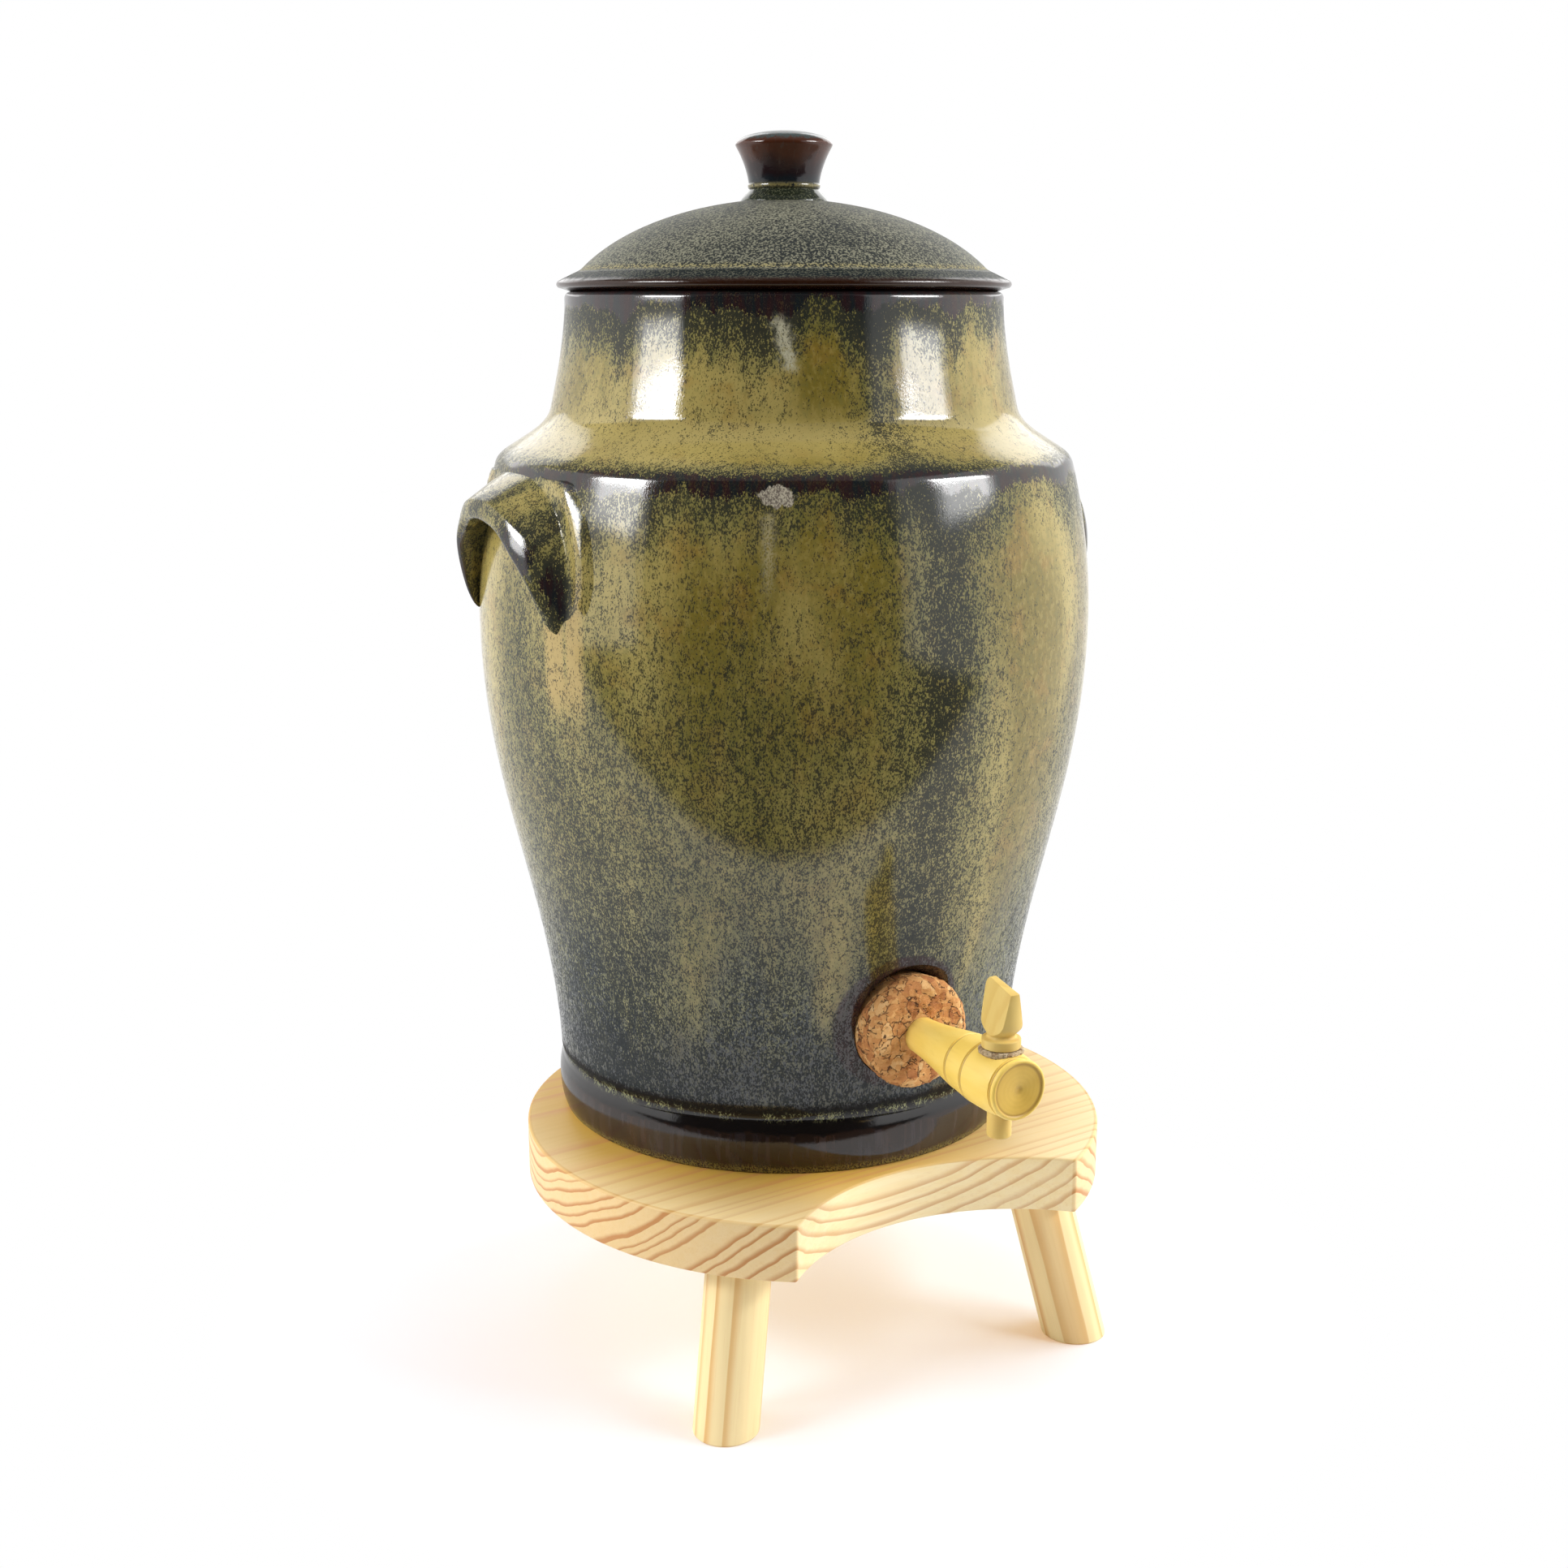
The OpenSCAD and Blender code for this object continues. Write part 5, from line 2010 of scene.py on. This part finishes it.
@dataclass
class Stool:
    """The round pine seat, hollowed under the tap, and its three splayed dowel legs."""

    places: Places
    seat_t: float = 18.0
    ease: float = 0.8
    notch_r: float = 73.5
    notch_margin: float = 5.0
    leg_d: float = 20.5
    leg_inset: float = 19.1
    leg_spread: float = 46.0
    splay: float = 15.0
    socket: float = 12.0
    foot_ease: float = 0.7
    rim_steps: int = 150
    notch_steps: int = 48
    leg_sides: int = 96
    board_turn: Spot = (0.0, math.radians(90), math.radians(6.0))
    board_pith: Point = (-82.0, 26.0)
    leg_ring: float = 4.2
    leg_piths: tuple[Point, ...] = ((24.0, -17.0), (-31.0, -9.0), (15.0, 26.0))
    pale: Colour = (0.95, 0.76, 0.41)
    tan: Colour = (0.70, 0.365, 0.095)

    def build(self) -> None:
        """Build and dress the seat and the legs."""
        middle = (0.0, self.places.seat_y, self.places.seat_under + self.seat_t / 2)
        board = Pine(
            "seat_pine",
            middle,
            self.board_turn,
            self.board_pith,
            top=self.places.foot_z,
            shade_r=self.places.foot_r,
            shade_y=self.places.axis_y,
            rim_r=self.places.seat_r,
            rim_y=self.places.seat_y,
        )
        seat = made_object(self._seat(), "stool_seat_board", crease=40)
        fitted(seat, "stool_seat", Body.STOOL, board.material())
        turns = {"front_left_leg": -self.leg_spread, "front_right_leg": self.leg_spread, "back_leg": 180.0}
        for (name, turn), pith in zip(turns.items(), self.leg_piths):
            lean = (math.radians(-self.splay), 0.0, math.radians(turn))
            spot = tuple(self._leg_matrix(turn).translation / MM)
            dowel = Pine(f"{name}_pine", spot, lean, pith, self.leg_ring, early=self.pale, late=self.tan)
            leg = made_object(self._leg(turn), f"{name}_dowel", crease=40)
            fitted(leg, name, Body.STOOL, dowel.material())

    def _seat(self) -> Form:
        """Cut the seat from a board and ease its edges.

        Returns:
            The seat, in its place.
        """
        crock_front = self.places.axis_y - self.places.foot_r
        notch_y = crock_front - self.notch_margin - self.notch_r - self.places.seat_y
        r, n = self.places.seat_r, self.notch_r
        horn_y = (r * r - n * n + notch_y * notch_y) / (2 * notch_y)
        horn_x = math.sqrt(r * r - horn_y * horn_y)
        horn, inner = math.atan2(horn_x, -horn_y), math.atan2(horn_x, horn_y - notch_y)
        form = bmesh.new()
        rim = []
        for i in range(self.rim_steps + 1):
            turn = horn + (FULL_TURN - 2 * horn) * i / self.rim_steps
            rim.append(Vector((r * math.sin(turn), -r * math.cos(turn), 0)))
        for i in range(1, self.notch_steps):
            turn = -inner + 2 * inner * i / self.notch_steps
            rim.append(Vector((n * math.sin(turn), notch_y + n * math.cos(turn), 0)))
        verts = [form.verts.new(point * MM) for point in rim]
        bottom = form.faces.new(verts)
        lifted = bmesh.ops.extrude_face_region(form, geom=[bottom])["geom"]
        tops = [item for item in lifted if isinstance(item, bmesh.types.BMVert)]
        bmesh.ops.translate(form, verts=tops, vec=(0, 0, self.seat_t * MM))
        bmesh.ops.recalc_face_normals(form, faces=form.faces)
        sharp = [edge for edge in form.edges if edge.calc_face_angle() > math.radians(30)]
        eased(form, sharp, self.ease)
        return moved(form, stood(self.places.seat_y, self.places.seat_under))

    def _leg_matrix(self, turn: float) -> Matrix:
        """Give a leg's frame: +Z up along the leg, 0 at the seat's underside.

        Args:
            turn: The leg's angle from the tap's direction, in degrees.

        Returns:
            The frame.
        """
        stand = stood(self.places.seat_y, self.places.seat_under)
        out = stood(self.leg_inset - self.places.seat_r, 0)
        lean = Matrix.Rotation(math.radians(-self.splay), 4, "X")
        return stand @ Matrix.Rotation(math.radians(turn), 4, "Z") @ out @ lean

    def _leg(self, turn: float) -> Form:
        """Cut a dowel level with the floor and ease its foot.

        Args:
            turn: The leg's angle from the tap's direction, in degrees.

        Returns:
            The leg, in its place.
        """
        length = 2 * self.places.seat_under
        form = bmesh.new()
        bmesh.ops.create_cone(
            form,
            cap_ends=True,
            segments=self.leg_sides,
            radius1=self.leg_d / 2 * MM,
            radius2=self.leg_d / 2 * MM,
            depth=(length + self.socket) * MM,
        )
        bmesh.ops.translate(form, verts=form.verts, vec=(0, 0, (self.socket - length) / 2 * MM))
        moved(form, self._leg_matrix(turn))
        foot = cut_flat(form, form.faces[:], Vector((0, 0, 0)), Vector((0, 0, -1)))
        eased(form, [edge for face in foot for edge in face.edges], self.foot_ease)
        return form


@dataclass(frozen=True)
class Softbox:
    """A soft lamp, placed by its bearing and height in degrees from the crock as the camera sees it."""

    name: str
    bearing: float
    height: float
    distance: float
    size: Point
    power: float
    mirrored: bool = True


@dataclass
class Studio:
    """A white table and sweep, soft lamps beside, behind and above, and a dark room behind the camera."""

    places: Places
    pitch: float = math.radians(13.15)
    distance: float = 669.1
    rise: float = 263.4
    lens: float = 47.08
    sensor: float = 36.0
    aim: float = 200.0
    table_front: float = 300.0
    table_back: float = 2200.0
    table_half: float = 2200.0
    room_front: float = 1150.0
    room_left: float = 1500.0
    room_right: float = 1050.0
    room_top: float = 1300.0
    room_drop: float = 6.0
    fill: float = 0.25
    paper: Colour = (0.80, 0.80, 0.80)
    shade: Colour = (0.44, 0.62, 0.77)
    bounce: Colour = (0.50, 0.24, 0.09)
    shade_span: Span = (110.0, 200.0)
    white: Colour = (1.0, 1.0, 1.0)
    dark_tones: tuple[Colour, Colour] = ((0.010, 0.010, 0.010), (0.022, 0.021, 0.020))
    grey_tones: tuple[Colour, Colour] = ((0.16, 0.16, 0.16), (0.22, 0.22, 0.22))
    boxes: tuple[Softbox, ...] = (
        Softbox("left_softbox", -64.0, 23.2, 900.0, (330.0, 140.0), 3.8),
        Softbox("left_softbox_low", -64.0, 14.4, 900.0, (330.0, 130.0), 0.9),
        Softbox("right_softbox", 71.5, 24.0, 900.0, (360.0, 130.0), 3.9),
        Softbox("right_softbox_low", 71.5, 15.8, 900.0, (360.0, 120.0), 1.0),
        Softbox("left_backlight", -151.0, 25.0, 1100.0, (800.0, 560.0), 1.7),
        Softbox("right_backlight", 151.0, 25.0, 1100.0, (800.0, 560.0), 1.9),
        Softbox("left_wash", -104.0, 16.0, 1100.0, (700.0, 700.0), 9.0, mirrored=False),
        Softbox("right_wash", 106.0, 16.0, 1100.0, (700.0, 700.0), 11.0, mirrored=False),
        Softbox("top_softbox", 150.0, 78.0, 1300.0, (1000.0, 1000.0), 7.4, mirrored=False),
    )

    def build(self) -> None:
        """Set the camera, the table, the lamps and the world."""
        bpy.context.scene.view_settings.view_transform = "Standard"
        self._camera()
        self._table()
        self._room()
        for box in self.boxes:
            self._lamp(box)
        self._world()
        LOG.info("studio set with %d lamps", len(self.boxes))

    def _turned(self) -> Matrix:
        """Give the camera's level frame on the floor, with -Y towards the camera."""
        return stood(self.places.axis_y, 0) @ Matrix.Rotation(self.places.view_side, 4, "Z")

    def _camera(self) -> None:
        """Stand the camera where the crock is seen from."""
        lens = bpy.data.cameras.new("camera")
        lens.lens = self.lens
        lens.sensor_width = self.sensor
        lens.clip_start = 0.01
        camera = bpy.data.objects.new("camera", lens)
        bpy.context.scene.collection.objects.link(camera)
        spot = Vector((0, -self.distance, self.places.foot_z + self.rise)) * MM
        camera.location = self._turned() @ spot
        camera.rotation_euler = Euler((math.radians(90) - self.pitch, 0, self.places.view_side))
        bpy.context.scene.camera = camera

    def _sheet(self, name: str, corners: Sequence[Spot]) -> bpy.types.Object:
        """Lay a flat sheet by its corners in the camera's level frame.

        Args:
            name: The object's name.
            corners: Its corners in order, in millimetres.

        Returns:
            The sheet.
        """
        form = bmesh.new()
        bmesh.ops.contextual_create(form, geom=[form.verts.new(Vector(corner) * MM) for corner in corners])
        moved(form, self._turned())
        bmesh.ops.recalc_face_normals(form, faces=form.faces)
        sheet = made_object(form, name, crease=30)
        return sheet

    @staticmethod
    def _level(left: float, right: float, front: float, back: float, height: float) -> list[Spot]:
        """Give the corners of a level sheet."""
        return [(left, front, height), (right, front, height), (right, back, height), (left, back, height)]

    def _table(self) -> None:
        """Lay the white table, which is white to the camera and keeps the shadow, with a painted warm glow of
        bounce light near the stool.
        """
        half = self.table_half
        table = self._sheet("table", self._level(-half, half, -self.table_front, self.table_back, 0.0))
        g = MaterialGraph("table_white")
        g.tree.nodes.remove(g.shader)
        paper = g.node("ShaderNodeBsdfDiffuse", {}, {"Color": self.paper})
        # Near the stool a bluish diffuse under a warm emission paints peach bounce light into the shadow;
        # further out the table is plain white.
        tinted = g.node("ShaderNodeBsdfDiffuse", {}, {"Color": self.shade})
        painted_bounce = g.node("ShaderNodeEmission", {}, {"Color": self.bounce, "Strength": 1.0})
        near = g.node("ShaderNodeAddShader", {}, {0: tinted, 1: painted_bounce})
        far = g.node("ShaderNodeEmission", {}, {"Color": self.white, "Strength": 1.0})
        x, y, _ = g.axes(g.place())
        back = y - self.places.axis_y
        off = g.away(x, back)
        seen = g.node("ShaderNodeMixShader", {}, {0: g.rise(off, *self.shade_span), 1: near, 2: far})
        shown = g.node("ShaderNodeMixShader", {}, {0: self._seen(g), 1: paper, 2: seen})
        g.feed(g.tree.nodes["Material Output"].inputs["Surface"], shown)
        table.data.materials.append(g.material)

    @staticmethod
    def _seen(g: Graph) -> Value:
        """Give 1 on rays that show the surroundings and 0 on rays that light the object."""
        path = g.node("ShaderNodeLightPath", {}, {}, "Is Camera Ray")
        return g.clamped(path + path.other("Is Glossy Ray") + path.other("Is Transmission Ray"))

    def _room(self) -> None:
        """Hang the dark room before the table and its grey ceiling, which show only in what is glossy."""
        left, right, front, top = -self.room_left, self.room_right, -self.room_front, self.room_top
        low = -self.room_drop
        dark = MaterialGraph("room_dark")
        weave = dark.mix(dark.noise(dark.place(), 160.0), *self.dark_tones)
        dark.finished(Base_Color=weave, Roughness=1.0, Specular_IOR_Level=0.0)
        grey = MaterialGraph("room_grey")
        cloud = grey.mix(grey.noise(grey.place(), 400.0), *self.grey_tones)
        grey.finished(Base_Color=(0.0, 0.0, 0.0), Emission_Color=cloud, Emission_Strength=1.0)
        floor = self._level(left, right, front, -self.table_front, low)
        wall = [(left, front, low), (right, front, low), (right, front, top), (left, front, top)]
        roof = self._level(left, right, front, -front, top)
        sheets = {"room_floor": (dark, floor), "room_wall": (dark, wall), "room_ceiling": (grey, roof)}
        for name, (finish, corners) in sheets.items():
            sheet = self._sheet(name, corners)
            sheet.data.materials.append(finish.material)
            sheet.visible_camera = False
            sheet.visible_diffuse = False
            sheet.visible_shadow = False
            sheet.visible_transmission = False

    def _lamp(self, box: Softbox) -> None:
        """Hang a soft lamp that faces the crock.

        Args:
            box: The lamp.
        """
        light = bpy.data.lights.new(box.name, "AREA")
        light.shape = "RECTANGLE"
        light.size, light.size_y = (side * MM for side in box.size)
        light.energy = box.power
        lamp = bpy.data.objects.new(box.name, light)
        bpy.context.scene.collection.objects.link(lamp)
        turn, tilt = math.radians(box.bearing), math.radians(box.height)
        way = Vector((math.sin(turn) * math.cos(tilt), -math.cos(turn) * math.cos(tilt), math.sin(tilt)))
        aim = Vector((0, 0, self.places.foot_z + self.aim))
        lamp.location = self._turned() @ ((aim + way * box.distance) * MM)
        facing = self._turned().to_3x3() @ -way
        lamp.rotation_euler = facing.to_track_quat("-Z", "Y").to_euler()
        lamp.visible_camera = False
        lamp.visible_glossy = box.mirrored

    def _world(self) -> None:
        """Make a white world to look at and a softer one to light by."""
        world = bpy.data.worlds.new("white_sweep")
        world.use_nodes = True
        bpy.context.scene.world = world
        g = Graph(world.node_tree)
        g.tree.nodes.clear()
        light = g.node("ShaderNodeBackground", {}, {"Color": self.white, "Strength": self.fill})
        white = g.node("ShaderNodeBackground", {}, {"Color": self.white, "Strength": 1.0})
        shown = g.node("ShaderNodeMixShader", {}, {0: self._seen(g), 1: light, 2: white})
        out = g.tree.nodes.new("ShaderNodeOutputWorld")
        g.feed(out.inputs["Surface"], shown)


def main() -> None:
    """Build the studio and the sub-assemblies in order."""
    logging.basicConfig(level=logging.INFO, format="%(message)s")
    places = Places.measured()
    Studio(places).build()
    for assembly in (Crock(places), Lid(places), Tap(places), Stool(places)):
        LOG.info("building the %s", type(assembly).__name__.lower())
        assembly.build()


if __name__ == "__main__":
    main()
